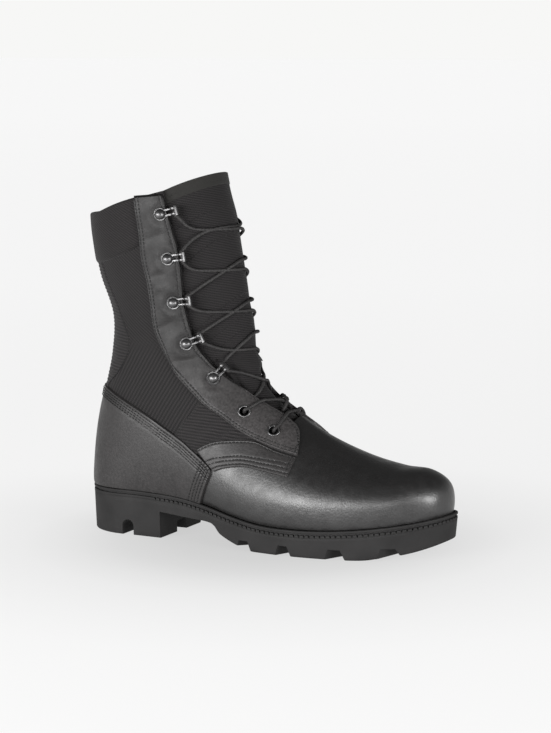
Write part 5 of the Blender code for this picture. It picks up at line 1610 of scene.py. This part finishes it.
def aimed(name, data, target, towards, distance):
    """Puts a camera or light at a distance from its target and turns it there."""
    made = bpy.data.objects.new(name, data)
    bpy.context.scene.collection.objects.link(made)
    made.location = Vector(target) + distance * towards
    made.rotation_mode = "QUATERNION"
    made.rotation_quaternion = (-towards).to_track_quat("-Z", "Y")
    return made


def add_camera():
    data = bpy.data.cameras.new("photo_camera")
    data.sensor_width, data.lens = SENSOR, CAMERA_LENS
    towards = direction(CAMERA_AZIMUTH, CAMERA_ELEVATION)
    bpy.context.scene.camera = aimed("photo_camera", data, CAMERA_TARGET, towards, CAMERA_DISTANCE)


SOFTBOXES = (  # name, azimuth, elevation, distance, width, height, watts
    ("softbox_left", -22.0, 7.0, 1.7, 1.4, 0.65, 42.0),
    ("softbox_low", 10.0, -1.5, 1.35, 1.3, 0.12, 11.0),
    ("softbox_right", 78.0, 6.0, 1.7, 1.0, 0.5, 30.0),
)
LIGHT_TARGET = (0.0, 0.0, 0.12)


def add_softboxes():
    for name, azimuth, elevation, distance, width, height, watts in SOFTBOXES:
        data = bpy.data.lights.new(name, "AREA")
        data.shape = "RECTANGLE"
        data.size, data.size_y = width, height
        data.energy = watts
        aimed(name, data, LIGHT_TARGET, direction(azimuth, elevation), distance)


FLOOR_HALF = 40.0
FLOOR_CENTRE = (0.0, 0.0, 0.0)  # the floor is dimmest here, under the boot
FLOOR_GLOW = (  # distance, strength
    (0.0, 0.55), (0.10, 0.60), (0.15, 0.70), (0.20, 0.77), (0.28, 0.81), (0.36, 0.84), (2.0, 0.88),
    (10.0, 0.90),
)
FLOOR_COLOUR, FLOOR_ROUGH, FLOOR_SHINE = (0.1, 0.1, 0.099), 0.9, 0.2
HORIZON_LIGHT, ZENITH_LIGHT = 0.93, 0.10
HORIZON_TO, ZENITH_FROM = 0.02, 0.35  # heights between which the light from all round dims
WORLD_COLOUR = (1.0, 1.0, 0.99, 1.0)


def add_floor():
    mesh = bpy.data.meshes.new("floor")
    corners = [(x * FLOOR_HALF, y * FLOOR_HALF, 0.0) for x, y in ((-1, -1), (1, -1), (1, 1), (-1, 1))]
    mesh.from_pydata(corners, [], [(0, 1, 2, 3)])
    material, tree, shader = new_material("pale_floor", FLOOR_COLOUR, FLOOR_ROUGH, 0.0, FLOOR_SHINE)
    ends = {0: object_place(tree), 1: FLOOR_CENTRE}
    away = add_node(tree, "ShaderNodeVectorMath", ends, operation="DISTANCE")
    far = FLOOR_GLOW[-1][0]
    share = remap(tree, away.outputs["Value"], 0.0, 1.0, 0.0, far)
    ramp = add_node(tree, "ShaderNodeValToRGB", {"Fac": share})
    stops = ramp.color_ramp.elements
    while len(stops) < len(FLOOR_GLOW):
        stops.new(1.0)
    for stop, (distance, strength) in zip(stops, FLOOR_GLOW):
        stop.position = distance / far
        stop.color = (strength, strength, strength, 1.0)
    tree.links.new(ramp.outputs["Color"], shader.inputs["Emission Color"])
    shader.inputs["Emission Strength"].default_value = 1.0
    mesh.materials.append(material)
    floor = bpy.data.objects.new("floor", mesh)
    bpy.context.scene.collection.objects.link(floor)


def add_world():
    """Light from all round: bright at the horizon and dim overhead."""
    world = bpy.data.worlds.new("studio")
    world.use_nodes = True
    tree = world.node_tree
    place = add_node(tree, "ShaderNodeTexCoord").outputs["Generated"]
    height = add_node(tree, "ShaderNodeSeparateXYZ", {"Vector": place}).outputs["Z"]
    strength = remap(tree, height, HORIZON_LIGHT, ZENITH_LIGHT, HORIZON_TO, ZENITH_FROM)
    background = tree.nodes["Background"]
    background.inputs["Color"].default_value = WORLD_COLOUR
    tree.links.new(strength, background.inputs["Strength"])
    bpy.context.scene.world = world


make_sole()
make_rim("sole_rib", RIB)
make_rim("sole_teeth", TEETH)
make_insole()
upper_pieces = make_upper()
facings = [make_eyestay(one_side) for one_side in SIDES]
for one_side in SIDES:
    make_band(one_side)
    make_ankle_patch(one_side)
make_counter()
make_cuff()
make_backstay()
make_stitches()
make_tongue()
make_binding()
make_hooks()
make_eyelets(facings + upper_pieces)
make_lace()
add_camera()
add_softboxes()
add_floor()
add_world()
bpy.context.scene.view_settings.view_transform = "Standard"
